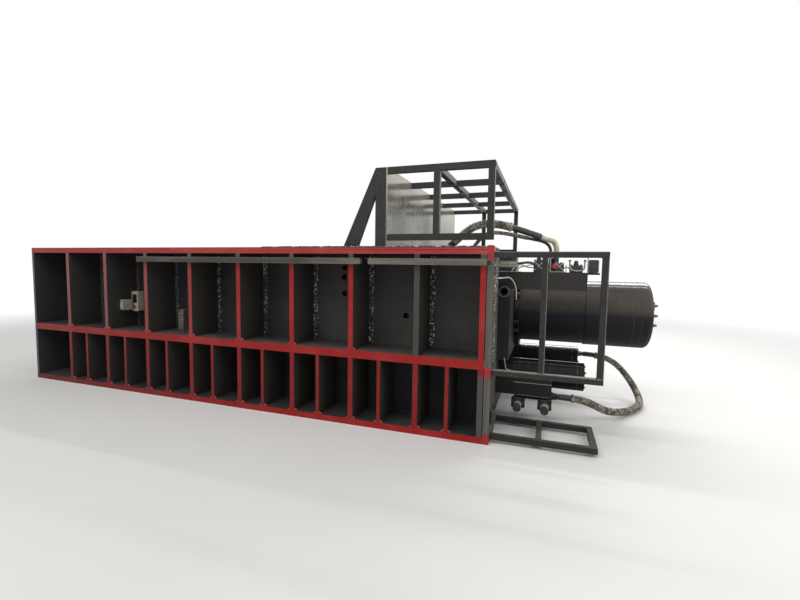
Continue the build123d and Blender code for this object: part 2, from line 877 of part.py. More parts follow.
post_x0 = plate_x + platform_plate
post_x1 = post_x0 + rail_height
half_rail = rail_tube / 2
rail_outer_z = platform_top_z - half_rail
rail_inner_z = frame_depth + 65 + half_rail
rail_wall = 4
mid_rail_x = post_x0 + rail_height / 2 - 20
with BuildPart() as platform_railing:
    post_y = [rail_y * (2 * number / rail_bays - 1) for number in range(rail_bays + 1)]
    for y in post_y:
        add(tube_run((post_x0, y, rail_outer_z), (post_x1, y, rail_outer_z), rail_tube, rail_wall))
    for y in (-rail_y, rail_y):
        add(tube_run((post_x0, y, rail_inner_z), (post_x1, y, rail_inner_z), rail_tube, rail_wall))
    for rail_x in (mid_rail_x, post_x1 - half_rail):
        for y0, y1 in zip(post_y, post_y[1:]):
            add(
                tube_run(
                    (rail_x, y0 + half_rail, rail_outer_z),
                    (rail_x, y1 - half_rail, rail_outer_z),
                    rail_tube,
                    rail_wall,
                )
            )
        for y in (-rail_y, rail_y):
            add(
                tube_run(
                    (rail_x, y, rail_inner_z + half_rail),
                    (rail_x, y, rail_outer_z - half_rail),
                    rail_tube,
                    rail_wall,
                )
            )
save(platform_railing, "platform_railing")

# Shelf for the valves on the near side of the main cylinder
shelf_y = -mount_plate_half_width
shelf_end = mount_x + shelf_length
shelf_bracket = 110
with BuildPart() as valve_shelf:
    block((mount_x, shelf_y, shelf_top_z - shelf_height), (shelf_end, shelf_y + shelf_plate, shelf_top_z))
    block(
        (mount_x, shelf_y, shelf_top_z - shelf_plate),
        (shelf_end, shelf_y + shelf_width, shelf_top_z),
    )
    block(
        (shelf_end, shelf_y + 50, shelf_top_z - shelf_plate),
        (shelf_end + shelf_bracket, shelf_y + 210, shelf_top_z),
    )
    for rib_x in (mount_x, mount_x + shelf_length / 2, shelf_end - 12):
        with BuildSketch(Plane.YZ.offset(rib_x)):
            with BuildLine():
                Polyline(
                    (shelf_y + shelf_plate, shelf_top_z - shelf_plate),
                    (shelf_y + shelf_width, shelf_top_z - shelf_plate),
                    (shelf_y + shelf_plate, shelf_top_z - shelf_height),
                    close=True,
                )
            make_face()
        extrude(amount=12)
save(valve_shelf, "valve_shelf")

# Valve blocks, a solenoid, the red safety valve and the terminal box on the shelf
valve_y = shelf_y + 130
valve_half = 45
valve_places = [(210, 100, 115), (347, 150, 90), (550, 120, 70)]
with BuildPart() as valve_blocks:
    for start, length, height in valve_places:
        block(
            (mount_x + start, valve_y - valve_half, shelf_top_z),
            (mount_x + start + length, valve_y + valve_half, shelf_top_z + height),
        )
    outer_edges = valve_blocks.edges().filter_by(Axis.Z)
    chamfer(outer_edges, 6)
save(valve_blocks, "valve_blocks")

red_valve_radius = 26
red_valve_x = mount_x + 410
with BuildPart() as safety_valve:
    with BuildSketch(Plane.XZ.offset(-valve_y + valve_half)):
        with Locations((red_valve_x, shelf_top_z + 55)):
            RegularPolygon(red_valve_radius, 6)
    extrude(amount=40)
    with BuildSketch(Plane.XZ.offset(-valve_y + valve_half + 40)):
        with Locations((red_valve_x, shelf_top_z + 55)):
            Circle(red_valve_radius)
    extrude(amount=45, taper=8)
save(safety_valve, "safety_valve")

box_length = 88
with BuildPart() as terminal_box:
    block(
        (shelf_end + 8, valve_y - 55, shelf_top_z),
        (shelf_end + 8 + box_length, valve_y + 55, shelf_top_z + 125),
    )
    fillet(terminal_box.edges().filter_by(Axis.Y), 12)
save(terminal_box, "terminal_box")

# Short tray that carries the wiring from the trunking over the crown
with BuildPart() as tray_link:
    block((web_end, -web_y, top_z - 110), (web_end + 190, -web_y + 60, top_z - 50))
    fillet(tray_link.edges().filter_by(Axis.X), 8)
save(tray_link, "wiring_tray")

# Prefill manifold for the clamp cylinders with two flanged pipe stubs
manifold_x0 = web_end + 180
manifold_length = 370
manifold_low_z = 300
manifold_height = 135
manifold_y = -950
manifold_width = 200
stub_radius = 33
stub_wall = 6
stub_flange = 134
stub_flange_height = 104
stub_flange_thickness = 35
stub_reach = 190
stub_z = 220
stub_places = [manifold_x0 + 52, manifold_x0 + 308]
stub_block = 45
stub_setback = 40
sump_low_z = 215
sump_setback = 185
sump_far_y = -655
bracket_plate = 50
with BuildPart() as manifold:
    block(
        (manifold_x0, manifold_y, manifold_low_z),
        (manifold_x0 + manifold_length, manifold_y + manifold_width, manifold_low_z + manifold_height),
    )
    block(
        (manifold_x0, manifold_y + sump_setback, sump_low_z),
        (manifold_x0 + manifold_length, sump_far_y, manifold_low_z),
    )
    for stub_x in stub_places:
        block(
            (stub_x - stub_block, manifold_y + stub_setback, stub_z - stub_block),
            (stub_x + stub_block, manifold_y + sump_setback, manifold_low_z),
        )
    block(
        (web_end, manifold_y + 10, manifold_low_z),
        (manifold_x0, manifold_y + 10 + bracket_plate, manifold_low_z + manifold_height + 60),
    )
save(manifold, "clamp_manifold")

stub_plane = Plane.XZ.offset(-manifold_y - stub_setback)
with BuildPart() as stubs:
    for stub_x in stub_places:
        with BuildSketch(stub_plane):
            with Locations((stub_x, stub_z)):
                RectangleRounded(stub_flange, stub_flange_height, 12)
        extrude(amount=stub_flange_thickness)
        with BuildSketch(stub_plane.offset(stub_flange_thickness)):
            with Locations((stub_x, stub_z)):
                Circle(stub_radius)
        extrude(amount=stub_reach)
        with BuildSketch(stub_plane.offset(stub_flange_thickness + stub_reach)):
            with Locations((stub_x, stub_z)):
                Circle(stub_radius - stub_wall)
        extrude(amount=-(stub_reach - 20), mode=Mode.SUBTRACT)
save(stubs, "manifold_pipe_stubs")


def stack(start, direction, steps):
    """Turned fitting: a row of discs or hexagons of (kind, radius, length) along a direction."""
    plane = Plane(origin=start, z_dir=direction)
    with BuildPart() as fitting:
        reach = 0
        for kind, radius, length in steps:
            with BuildSketch(plane.offset(reach)):
                if kind == "hex":
                    RegularPolygon(radius, 6)
                else:
                    Circle(radius)
            extrude(amount=length)
            reach += length
    return fitting.part


# Fittings that the hoses leave from and go back into
clamp_port_z = clamp_axis_z + 60
manifold_port = (manifold_x0 + manifold_length, -723, 258)
clamp_port = (clamp_end, clamp_axis_y, clamp_port_z)
manifold_fitting = [("round", 42, 20), ("hex", 36, 35), ("round", 28, 40)]
clamp_fitting = [("round", 36, 12), ("hex", 34, 30), ("round", 26, 30)]
with BuildPart() as hose_fittings:
    add(stack(manifold_port, (1, 0, 0), manifold_fitting))
    add(stack(clamp_port, (1, 0, 0), clamp_fitting))
save(hose_fittings, "hose_fittings")


def slanted_fitting(route, radius, length, foot):
    """Foot flange on the top flange plate with a slanted stub that meets the hose face to face."""
    direction = (Vector(*route[1]) - Vector(*route[0])).normalized()
    base = Vector(*route[0]) - direction * length
    with BuildPart() as fitting:
        block(
            (base.X - foot, base.Y - foot, frame_depth),
            (base.X + foot, base.Y + foot, frame_depth + 0.5 * foot),
        )
        add(stack(base, direction, [("round", radius, 0.6 * length), ("hex", radius, 0.4 * length)]))
    return fitting.part




def over_crown(route):
    """Route points from distances behind the mounting face, inside the column and over the frame."""
    return [(mount_x + x, -half_width + y, frame_depth + z) for x, y, z in route]


pressure_route = over_crown(
    [
        (-552, 500, 68),
        (-425, 500, 195),
        (-270, 512, 255),
        (-100, 580, 248),
        (75, 656, 199),
        (271, 732, 133),
    ]
)
pilot_route = over_crown(
    [
        (-339, 530, 54),
        (-275, 534, 140),
        (-170, 565, 173),
        (-2, 632, 153),
        (170, 720, 115),
        (310, 802, 91),
        (375, 800, 25),
        (375, 800, -75),
    ]
)
with BuildPart() as pressure_fitting:
    add(slanted_fitting(pressure_route, 36, 58, 60))
save(pressure_fitting, "pressure_line_flange")

pilot_end = pilot_route[-1]
pilot_seat = shelf_top_z + valve_places[1][2]
with BuildPart() as pilot_fittings:
    add(slanted_fitting(pilot_route, 18, 50, 34))
    pilot_nut = [("hex", 20, pilot_end[2] - pilot_seat)]
    add(stack((pilot_end[0], pilot_end[1], pilot_seat), (0, 0, 1), pilot_nut))
save(pilot_fittings, "pilot_line_fittings")


def cord_tube(points, radius):
    """Hose solid: straight runs joined by arcs as large as the runs allow; prints the arcs."""
    vectors = [Vector(*point) for point in points]
    radii = []
    for before, here, after in zip(vectors, vectors[1:], vectors[2:]):
        first = here - before
        second = after - here
        turn = math.radians(first.get_angle(second))
        radii.append(0.45 * min(first.length, second.length) / math.tan(turn / 2))
    with BuildPart() as tube:
        with BuildLine() as path:
            FilletPolyline(*points, radius=radii)
        wire = path.wires()[0]
        with BuildSketch(Plane(origin=wire @ 0, z_dir=wire % 0)):
            Circle(radius)
        sweep(path=wire)
    length = wire.length
    share = tube.part.volume / (math.pi * radius**2 * length)
    shown = [round(value) for value in radii]
    print("hose", round(length), "mm long, arcs", shown, "volume share", round(share, 4))
    return tube.part


# Large hose from the pressure line on the column to the steel elbow over the valves
with BuildPart() as pressure_hose:
    add(cord_tube(pressure_route, hose_radius))
save(pressure_hose, "pressure_hose")

middle_start, middle_length, middle_height = valve_places[1]
valve_top = (mount_x + middle_start + middle_length / 2, valve_y, shelf_top_z + middle_height)
hose_end = Vector(*pressure_route[-1])
hose_run = (hose_end - Vector(*pressure_route[-2])).normalized()
with BuildPart() as elbow:
    with BuildLine() as elbow_path:
        FilletPolyline(
            hose_end,
            hose_end + hose_run * 150,
            (valve_top[0], valve_y, valve_top[2] + 150),
            valve_top,
            radius=[70, 60],
        )
    elbow_wire = elbow_path.wires()[0]
    with BuildSketch(Plane(origin=elbow_wire @ 0, z_dir=elbow_wire % 0)):
        Circle(elbow_radius)
    sweep(path=elbow_wire)
save(elbow, "steel_elbow")

# Thin pilot hose beside it, down to the first valve block
with BuildPart() as pilot_hose:
    add(cord_tube(pilot_route, pilot_hose_radius))
save(pilot_hose, "pilot_hose")

# Hose from the far clamp cylinder down to the floor and back to the manifold
clamp_route = [
    (clamp_port[0] + 72, clamp_axis_y, clamp_port_z),
    (at(7190), clamp_axis_y, clamp_port_z),
    (at(7400), 515, 420),
    (at(7560), 430, 220),
    (at(7622), 250, 80),
    (at(7585), 0, 46),
    (at(7400), -290, 46),
    (at(7180), -560, 105),
    (at(6980), -690, 230),
    (at(6835), manifold_port[1], manifold_port[2]),
    (manifold_port[0] + 95, manifold_port[1], manifold_port[2]),
]
with BuildPart() as clamp_hose:
    add(cord_tube(clamp_route, floor_hose_radius))
save(clamp_hose, "clamp_feed_hose")

# Sensor cable held along the crown, with its gland and plug
sensor_route = over_crown(
    [
        (-94, 120, -273),
        (-34, 120, -273),
        (-10, 230, -270),
        (-3, 390, -267),
        (6, 540, -269),
        (20, 634, -310),
        (50, 652, -375),
        (60, 654, -435),
        (60, 654, -495),
    ]
)
with BuildPart() as sensor_cable:
    add(cord_tube(sensor_route, cable_radius))
save(sensor_cable, "sensor_cable")

with BuildPart() as sensor_plug:
    add(stack(sensor_route[-1], (0, 0, -1), [("round", 12, 30), ("round", 15, 38), ("round", 10, 20)]))
save(sensor_plug, "sensor_plug")

# Switch boxes and the grease distributor inside the bays of the near column
box_rib = first_rib + rib_pitch + rib_thickness / 2
with BuildPart() as switch_box:
    block((box_rib, -web_y - 247, mid_high_z + 225), (box_rib + 50, -web_y - 115, mid_high_z + 355))
    fillet(switch_box.edges().filter_by(Axis.X), 14)
save(switch_box, "limit_switch_box")

control_depth = 85
window_width = 66
window_height = 110
with BuildPart() as control_box:
    block(
        (box_rib, -web_y - control_depth, mid_high_z + 200),
        (box_rib + 110, -web_y, mid_high_z + 458),
    )
    fillet(control_box.edges().filter_by(Axis.Y), 10)
    with BuildSketch(Plane.XZ.offset(web_y + control_depth)):
        with Locations((box_rib + 55, mid_high_z + 365)):
            RectangleRounded(window_width, window_height, 8)
    extrude(amount=-6, mode=Mode.SUBTRACT)
save(control_box, "valve_control_box")

grease_x = first_rib + 2 * rib_pitch + 141
with BuildPart() as grease_box:
    block((grease_x, -web_y - 90, mid_high_z), (grease_x + 83, -web_y, mid_high_z + 256))
    fillet(grease_box.edges().filter_by(Axis.Z), 12)
save(grease_box, "grease_distributor")

print("part", round(overall_length), "mm long, base at", round(base_x, 1))
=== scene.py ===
"""Finish of the gantry shear head: paint, dust, weld seams, bolts, hoses and small fittings.

Everything is in metres in the machine's own frame. The foundation base is at -X, the crown with
the cylinders at +X, and the machine lies on its feeding side, so +Z points away from the floor.
"""
import math

import bmesh
import bpy
from mathutils import Matrix, Vector


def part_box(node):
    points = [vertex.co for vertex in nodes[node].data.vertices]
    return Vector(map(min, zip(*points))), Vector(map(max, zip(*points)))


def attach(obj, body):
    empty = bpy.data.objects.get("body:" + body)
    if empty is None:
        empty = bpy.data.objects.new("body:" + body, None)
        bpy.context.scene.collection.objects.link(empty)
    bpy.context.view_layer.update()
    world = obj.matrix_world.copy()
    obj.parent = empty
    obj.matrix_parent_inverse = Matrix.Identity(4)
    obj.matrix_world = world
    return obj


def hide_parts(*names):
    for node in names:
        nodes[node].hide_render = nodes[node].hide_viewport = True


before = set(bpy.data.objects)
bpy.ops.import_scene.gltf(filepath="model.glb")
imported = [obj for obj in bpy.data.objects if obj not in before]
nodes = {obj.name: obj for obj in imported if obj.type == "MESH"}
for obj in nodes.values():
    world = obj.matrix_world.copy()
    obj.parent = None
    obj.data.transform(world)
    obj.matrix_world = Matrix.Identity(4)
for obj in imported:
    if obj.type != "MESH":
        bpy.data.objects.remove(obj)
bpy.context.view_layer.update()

STILL = "portal_frame"


# Places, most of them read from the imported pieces
def low(node):
    return Vector(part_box(node)[0])


def high(node):
    return Vector(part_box(node)[1])


def middle(node):
    return (low(node) + high(node)) / 2


def along(distance):
    """Place along X of a distance in millimetres from the foundation base."""
    return BASE_X + distance / 1000


BASE_X = low("base_plate").x
CROWN_END = high("bottom_flanges").x
HALF_WIDTH = high("bottom_flanges").y
TOP = high("top_flanges").z
TOP_UNDER = low("top_flanges").z
MID_LOW = low("mid_flanges").z
MID_HIGH = high("mid_flanges").z
BOTTOM_HIGH = high("bottom_flanges").z
RIB_COUNT = 8
RIB_WIDTH = 0.050
THIN_WIDTH = 0.035
RIB_START = low("shear_bay_ribs").x
RIB_PITCH = (high("shear_bay_ribs").x - RIB_START - RIB_WIDTH) / (RIB_COUNT - 1)
THIN_START = low("clamp_bay_thin_ribs").x
RIB_PLACES = [RIB_START + RIB_WIDTH / 2 + number * RIB_PITCH for number in range(RIB_COUNT)]
THIN_PLACES = [THIN_START + THIN_WIDTH / 2 + number * RIB_PITCH for number in range(RIB_COUNT)]
WEB_FACE = HALF_WIDTH - 0.410
HEAD_FACE = high("column_head_plates").x
END_RIB_X = middle("column_end_plates").x
MOUNT_FACE = high("cylinder_mount_plate").x
MAIN_Z = middle("main_cylinder").z
CAP_FACE = high("main_cylinder").x
TRUNKING_LOW = low("cable_trunking")
TRUNKING_HIGH = high("cable_trunking")
SHELF = high("crown_upper_plate").z
SHELF_EDGE = low("valve_shelf").y
VALVE_FRONT = low("valve_blocks").y
ELBOW_FOOT = 1.705
GUARD_LOW = low("crown_end_guard")
GUARD_HIGH = high("crown_end_guard")
GUARD_RAIL = 0.682


# Shader maths
def add_node(tree, kind, settings, inputs):
    """Adds a node: its settings first, then the values or links of its sockets."""
    node = tree.nodes.new(kind)
    for name, value in (settings or {}).items():
        setattr(node, name, value)
    for name, value in (inputs or {}).items():
        if isinstance(value, Reading):
            value = value.socket
        if isinstance(value, bpy.types.NodeSocket):
            tree.links.new(value, node.inputs[name])
        else:
            node.inputs[name].default_value = value
    return node


def math_node(operation, turned=False):
    """A method of Reading that adds one Math node, with its two values turned round if asked."""

    def method(self, other=0.0):
        pair = (other, self) if turned else (self, other)
        return self.finish.add("ShaderNodeMath", {"operation": operation}, dict(enumerate(pair)))

    return method


class Reading:
    """A value inside a finish. Sums written with it add their Math nodes."""

    __add__ = math_node("ADD")
    __radd__ = math_node("ADD", turned=True)
    __sub__ = math_node("SUBTRACT")
    __rsub__ = math_node("SUBTRACT", turned=True)
    __mul__ = math_node("MULTIPLY")
    __rmul__ = math_node("MULTIPLY", turned=True)
    __pow__ = math_node("POWER")
    __abs__ = math_node("ABSOLUTE")
    above = math_node("GREATER_THAN")
    below = math_node("LESS_THAN")
    larger = math_node("MAXIMUM")
    smaller = math_node("MINIMUM")

    def __init__(self, finish, socket):
        self.finish = finish
        self.socket = socket


class Finish:
    """One material: a Principled surface whose sockets are fed by named patterns."""

    def __init__(self, name, roughness, metallic=0.0, **constants):
        self.material = bpy.data.materials.new(name)
        self.material.use_nodes = True
        self.tree = self.material.node_tree
        self.surface = self.tree.nodes["Principled BSDF"]
        constants.update(Roughness=roughness, Metallic=metallic)
        for socket, value in constants.items():
            self.surface.inputs[socket.replace("_", " ")].default_value = value
        self.place = self.add("ShaderNodeTexCoord", output="Object")
        self.x, self.y, self.z = self.axes(self.place)
        self.face_x, _, self.face_z = self.axes(self.add("ShaderNodeNewGeometry", output="Normal"))

    def add(self, kind, settings=None, inputs=None, output=0):
        return Reading(self, add_node(self.tree, kind, settings, inputs).outputs[output])

    def axes(self, vector):
        """X, Y and Z of a vector."""
        split = self.add("ShaderNodeSeparateXYZ", inputs={0: vector})
        return [Reading(self, out) for out in split.socket.node.outputs]

    def noise(self, scale, detail, roughness, stretch=None, shift=(0, 0, 0), distortion=0.0):
        """Noise on the piece's own place, which may be stretched along its axes."""
        place = self.place
        if stretch:
            inputs = {"Vector": place, "Scale": stretch, "Location": shift}
            place = self.add("ShaderNodeMapping", {"vector_type": "POINT"}, inputs)
        inputs = {"Vector": place, "Scale": scale, "Detail": detail}
        inputs.update({"Roughness": roughness, "Distortion": distortion})
        return self.add("ShaderNodeTexNoise", inputs=inputs, output="Fac")

    def fade(self, value, start, end):
        """0 below start and 1 above end, or the other way round when start is larger."""
        inputs = {"Value": value, "From Min": start, "From Max": end}
        return self.add("ShaderNodeMapRange", {"interpolation_type": "SMOOTHSTEP"}, inputs)

    def patches(self, scale, detail, roughness, start, end, stretch=None, **more):
        """Noise that fades from 0 at start to 1 at end."""
        return self.fade(self.noise(scale, detail, roughness, stretch, **more), start, end)

    def mix(self, share, first, second):
        """Colour between two colours, each a reading or red, green and blue."""
        pair = [tone if isinstance(tone, Reading) else (*tone, 1.0) for tone in (first, second)]
        inputs = {0: share, 6: pair[0], 7: pair[1]}
        return self.add("ShaderNodeMix", {"data_type": "RGBA"}, inputs, 2)

    def feed(self, socket, reading):
        self.tree.links.new(reading.socket, self.surface.inputs[socket])

    def cover(self, colour, roughness, grain=None, strength=0.1, depth=0.001):
        """Feeds colour, roughness and a fine grain, given by the scale, detail and roughness
        of its noise or as a reading.
        """
        self.feed("Base Color", colour)
        self.feed("Roughness", roughness)
        if grain:
            height = self.noise(*grain) if isinstance(grain, tuple) else grain
            inputs = {"Height": height, "Strength": strength, "Distance": depth}
            self.feed("Normal", self.add("ShaderNodeBump", inputs=inputs))
        return self


# Colours of the machine, linear
RED = (0.285, 0.0085, 0.0085)
RED_WORN = (0.36, 0.030, 0.027)
RED_DARK = (0.17, 0.007, 0.007)
RED_SHADE = (0.045, 0.009, 0.009)
RED_GREYED = (0.185, 0.118, 0.104)
RED_PALE = (0.42, 0.080, 0.072)
RED_SCRATCH = (0.44, 0.14, 0.115)
RED_GRIT = (0.060, 0.018, 0.018)
PRIMER = (0.0125, 0.0145, 0.0200)
PRIMER_WARM = (0.066, 0.060, 0.054)
RIB_SIDE = (0.036, 0.033, 0.028)
HEAD_GREY = (0.086, 0.081, 0.071)
HEAD_STREAK = (0.030, 0.029, 0.027)
HEAD_ARRIS = (0.26, 0.25, 0.21)
DUST = (0.150, 0.118, 0.078)
RUST = (0.16, 0.075, 0.035)
BASE_GREY = (0.085, 0.089, 0.084)
GREY_STRIP = (0.160, 0.152, 0.126)
GREY_DARK = (0.042, 0.042, 0.039)
TUBE_PAINT = (0.024, 0.024, 0.023)
EDGE_SHEEN = (0.230, 0.220, 0.195)
TRUNKING_BROWN = (0.170, 0.145, 0.120)
TRUNKING_DARK = (0.052, 0.047, 0.040)
PLATE_LIGHT = (0.46, 0.44, 0.37)
PLATE_GREY = (0.24, 0.235, 0.205)
PLATE_CLOUD = (0.135, 0.124, 0.102)
PLATE_STAIN = (0.090, 0.082, 0.066)
BLACK_GLOSS = (0.0050, 0.0052, 0.0085)
BARREL_DUST_AND_REFLECTION = (0.058, 0.048, 0.038)
BARREL_RINGS = (0.10, 0.085, 0.066)
BARE_STEEL = (0.38, 0.37, 0.35)
WELD_SPATTER = (0.60, 0.60, 0.56)
BOLT_BLACK = (0.020, 0.020, 0.022)
BOLT_WORN = (0.09, 0.085, 0.08)
CREAM = (0.50, 0.44, 0.33)
CREAM_DIRT = (0.17, 0.13, 0.085)
CREAM_HIGHLIGHT = (0.70, 0.65, 0.54)
SLEEVE = (0.40, 0.36, 0.28)
SLEEVE_DARK = (0.045, 0.042, 0.036)
SLEEVE_GROOVE = (0.035, 0.030, 0.024)
SLEEVE_FLECK = (0.66, 0.62, 0.52)
FLOOR_DULL = (0.70, 0.69, 0.67)
FLOOR_PALE = (0.74, 0.73, 0.71)
BLACK = (0.0, 0.0, 0.0)
WHITE = (1.0, 1.0, 1.0)
DUST_SCALE = 2.2


def dusted(finish, base, amount):
    """Brown shop dust on the faces that look up, thicker in patches."""
    patches = finish.patches(DUST_SCALE, 6, 0.65, 0.35, 0.7)
    grain = finish.patches(DUST_SCALE * 22, 3, 0.6, 0.35, 0.75)
    upward = finish.fade(finish.face_z, 0.35, 0.95)
    share = upward * (patches * 0.55 + 0.35) * (grain * 0.35 + 0.65) * amount
    return finish.mix(share, base, DUST)


def haze_and_runs(finish):
    """A brown haze and faint runs, which all the dark primer has."""
    haze = finish.patches(0.9, 5, 0.62, 0.38, 0.72, distortion=0.4)
    runs = finish.patches(3.0, 4, 0.6, 0.45, 0.75, (9, 9, 0.6))
    return haze, runs


def frame_primer(name, warm):
    """Dark blue-black primer of the inner plates, lighter and warmer on the web of the upper bays
    towards the crown, a painted pool of light.
    """
    finish = Finish(name, 0.62, Specular_IOR_Level=0.22)
    haze, runs = haze_and_runs(finish)
    # Painted light: the web of the upper bays towards the crown is lightened to warm primer, as if lit
    # from the crown side.
    lit_web_near_crown = finish.fade(finish.x, RIB_PLACES[1], CROWN_END) * finish.z.above(MID_HIGH)
    lit_web_near_crown = lit_web_near_crown * finish.fade(abs(finish.y), WEB_FACE - 0.02, WEB_FACE - 0.01)
    share = (haze * warm + runs * 0.22 + lit_web_near_crown * (0.35 + 0.5 * haze)).smaller(1.0)
    colour = finish.mix(share, PRIMER, PRIMER_WARM)
    colour = finish.mix(finish.patches(60, 2, 0.5, 0.66, 0.74) * 0.10, colour, DUST)
    colour = dusted(finish, colour, 0.62)
    return finish.cover(colour, 0.50 + 0.20 * haze + 0.10 * runs, (38, 3, 0.55))


def bay_paint(finish, warm):
    """Primer inside the bays: warmer on the faces towards the crown, dusty near the front."""
    haze, runs = haze_and_runs(finish)
    inner = finish.mix(haze * warm + runs * 0.25, PRIMER, PRIMER_WARM)
    inner = finish.mix(finish.fade(finish.face_x, 0.5, 0.9) * 0.8, inner, RIB_SIDE)
    front = finish.fade(abs(finish.y), HALF_WIDTH - 0.26, HALF_WIDTH - 0.05)
    toward_crown = finish.fade(finish.x, RIB_PLACES[1], RIB_PLACES[6])
    upper_row = finish.z.above(MID_LOW) * (0.35 + 0.65 * toward_crown)
    return dusted(finish, inner, 0.06 + front * (0.10 + 0.75 * upper_row))


def edge_red(finish):
    """Worn red enamel: scuffed clouds, drips, scratches and chips, and a painted shade that darkens it
    low down and towards the base.
    """
    red = finish.mix(finish.patches(3.2, 5, 0.6, 0.42, 0.70) * 0.65, RED, RED_WORN)
    drips = finish.patches(9, 6, 0.7, 0.56, 0.74, (1, 1, 3.0))
    red = finish.mix(drips * 0.45, red, RED_DARK)
    scratches = finish.patches(7, 4, 0.6, 0.64, 0.72, (0.6, 5, 14))
    red = finish.mix(scratches * 0.35, red, RED_SCRATCH)
    # Painted shade: the red darkens towards the base and low down.
    low_down = finish.fade(finish.z, MID_LOW, BOTTOM_HIGH)
    painted_shade = finish.fade(finish.x, RIB_PLACES[6], BASE_X) * (0.28 + 0.36 * low_down)
    red = finish.mix(painted_shade, red, RED_SHADE)
    return finish.mix(finish.patches(85, 3, 0.6, 0.70, 0.735) * 0.6, red, GREY_DARK)


def red_edged(name, warm=0.5, front=edge_red):
    """Plates with their outer faces in red enamel and the rest in primer."""
    finish = Finish(name, 0.5, Specular_IOR_Level=0.28)
    outward = abs(finish.y).above(HALF_WIDTH - 0.0012)
    spray = finish.fade(abs(finish.y), HALF_WIDTH - 0.016, HALF_WIDTH)
    cloud = finish.patches(14, 4, 0.6, 0.40, 0.62)
    share = outward.larger(spray * cloud * 0.5)
    colour = finish.mix(share, bay_paint(finish, warm), front(finish))
    return finish.cover(colour, 0.62 - 0.20 * outward + 0.10 * cloud, (45, 3, 0.55), 0.12)


def top_edge(finish):
    """Front of the top flange: its upper arris gritty and dark, a dark seam towards the crown, and a
    painted sheen in pale clouds.
    """
    grit = finish.patches(60, 4, 0.7, 0.36, 0.60)
    arris = finish.fade(finish.z, TOP - 0.009, TOP - 0.004) * (0.35 + 0.65 * grit)
    wave = finish.noise(6, 3, 0.5) * 0.006
    seam = finish.fade(abs(finish.z - (TOP - 0.030) - wave), 0.0055, 0.0025)
    seam = seam * finish.fade(finish.x, CROWN_END - 2.2, CROWN_END - 0.7)
    # Painted sheen: the red turns paler in long clouds, more towards the crown, where the front catches
    # the light.
    painted_sheen = 0.25 + 0.35 * finish.patches(2.2, 5, 0.65, 0.40, 0.62, (1, 1, 6))
    painted_sheen = painted_sheen * (0.45 + 0.55 * finish.fade(finish.x, RIB_PLACES[0], RIB_PLACES[6]))
    red = finish.mix(painted_sheen, edge_red(finish), RED_PALE)
    return finish.mix(arris.larger(seam * 0.75), red, RED_GRIT)


def rib_front(finish):
    """Rib fronts: red, with grey primer above the trunking, on the last rib and at the crown's foot."""
    patch = finish.noise(16, 4, 0.6)
    edges = finish.fade(abs(finish.x - RIB_PLACES[-1]), 0.019, 0.024)
    grey = finish.mix(patch * 0.14 + edges * 0.30, GREY_DARK, GREY_STRIP)
    above_trunking = finish.z.above(TRUNKING_LOW.z) * finish.x.above(TRUNKING_LOW.x)
    last_rib = finish.x.above(RIB_PLACES[-1] - RIB_PITCH / 2) * finish.x.below(END_RIB_X - 0.2)
    bare = (above_trunking + last_rib * finish.z.above(MID_HIGH)).smaller(1.0)
    # The upper ribs turn greyer towards the base.
    dusty = finish.fade(finish.x, RIB_PLACES[5], RIB_PLACES[0]) * finish.z.above(MID_HIGH)
    red = finish.mix(dusty * (0.40 + 0.35 * patch), edge_red(finish), RED_GREYED)
    # Painted shade: the fronts of the lower ribs are darkened.
    red = finish.mix(finish.z.below(MID_LOW) * 0.30, red, RED_SHADE)
    foot = finish.x.above(END_RIB_X - 0.2) * finish.z.below(MID_LOW - 0.062)
    foot_grey = finish.mix(patch * 0.4, GREY_DARK, GREY_STRIP)
    return finish.mix(foot, finish.mix(bare, red, grey), foot_grey)


def head_primer(name):
    """Grey primer of the head plates with long scraped streaks along Z."""
    finish = Finish(name, 0.7, Specular_IOR_Level=0.25)
    streak = finish.patches(14, 5, 0.62, 0.38, 0.66, (3, 3, 0.12))
    smear = finish.patches(5, 6, 0.65, 0.44, 0.72, (1, 1, 0.35))
    colour = finish.mix(streak * 0.80, HEAD_GREY, HEAD_STREAK)
    colour = finish.mix(smear * 0.55, colour, GREY_DARK)
    arris = finish.fade(abs(finish.y), HALF_WIDTH - 0.012, HALF_WIDTH - 0.004)
    colour = finish.mix(arris * 0.22, colour, HEAD_ARRIS)
    deep = finish.fade(abs(finish.y), HALF_WIDTH - 0.20, HALF_WIDTH - 0.34)
    colour = finish.mix(deep * 0.75, colour, PRIMER_WARM)
    return finish.cover(dusted(finish, colour, 0.4), 0.58 + 0.18 * smear, (60, 4, 0.6), 0.18)


def base_primer(name):
    """Dull grey primer of the base with dark smears and rusty specks, dark inside the frame."""
    finish = Finish(name, 0.7)
    smear = finish.patches(5, 6, 0.65, 0.40, 0.70, (1, 1, 0.35))
    colour = finish.mix(smear * 0.65, BASE_GREY, GREY_DARK)
    colour = finish.mix(finish.patches(24, 5, 0.7, 0.62, 0.70) * 0.35, colour, RUST)
    inner = finish.face_x.above(0.5) * abs(finish.y).below(HALF_WIDTH - 0.001)
    colour = finish.mix(inner * 0.9, colour, PRIMER)
    return finish.cover(dusted(finish, colour, 0.5), 0.62 + 0.18 * smear, (60, 4, 0.6), 0.18)


def arris_highlight(finish):
    """1 along the corners of the guard's upright tubes and rails, on their outer side, where a painted
    highlight goes.
    """

    def close_to(value, first, second):
        """1 near either of two places."""
        return finish.fade(abs(value - first), 0.008, 0.005).larger(
            finish.fade(abs(value - second), 0.008, 0.005)
        )

    top = GUARD_HIGH.z
    uprights = close_to(finish.x, along(6540), along(7000))
    uprights = uprights * finish.z.above(GUARD_RAIL) * finish.z.below(top - 0.05)
    rails = close_to(finish.z, GUARD_RAIL, top)
    outer = finish.y.below(GUARD_LOW.y + 0.004) * finish.y.above(-HALF_WIDTH)
    return uprights.larger(rails) * outer * finish.x.above(MOUNT_FACE - 0.1)


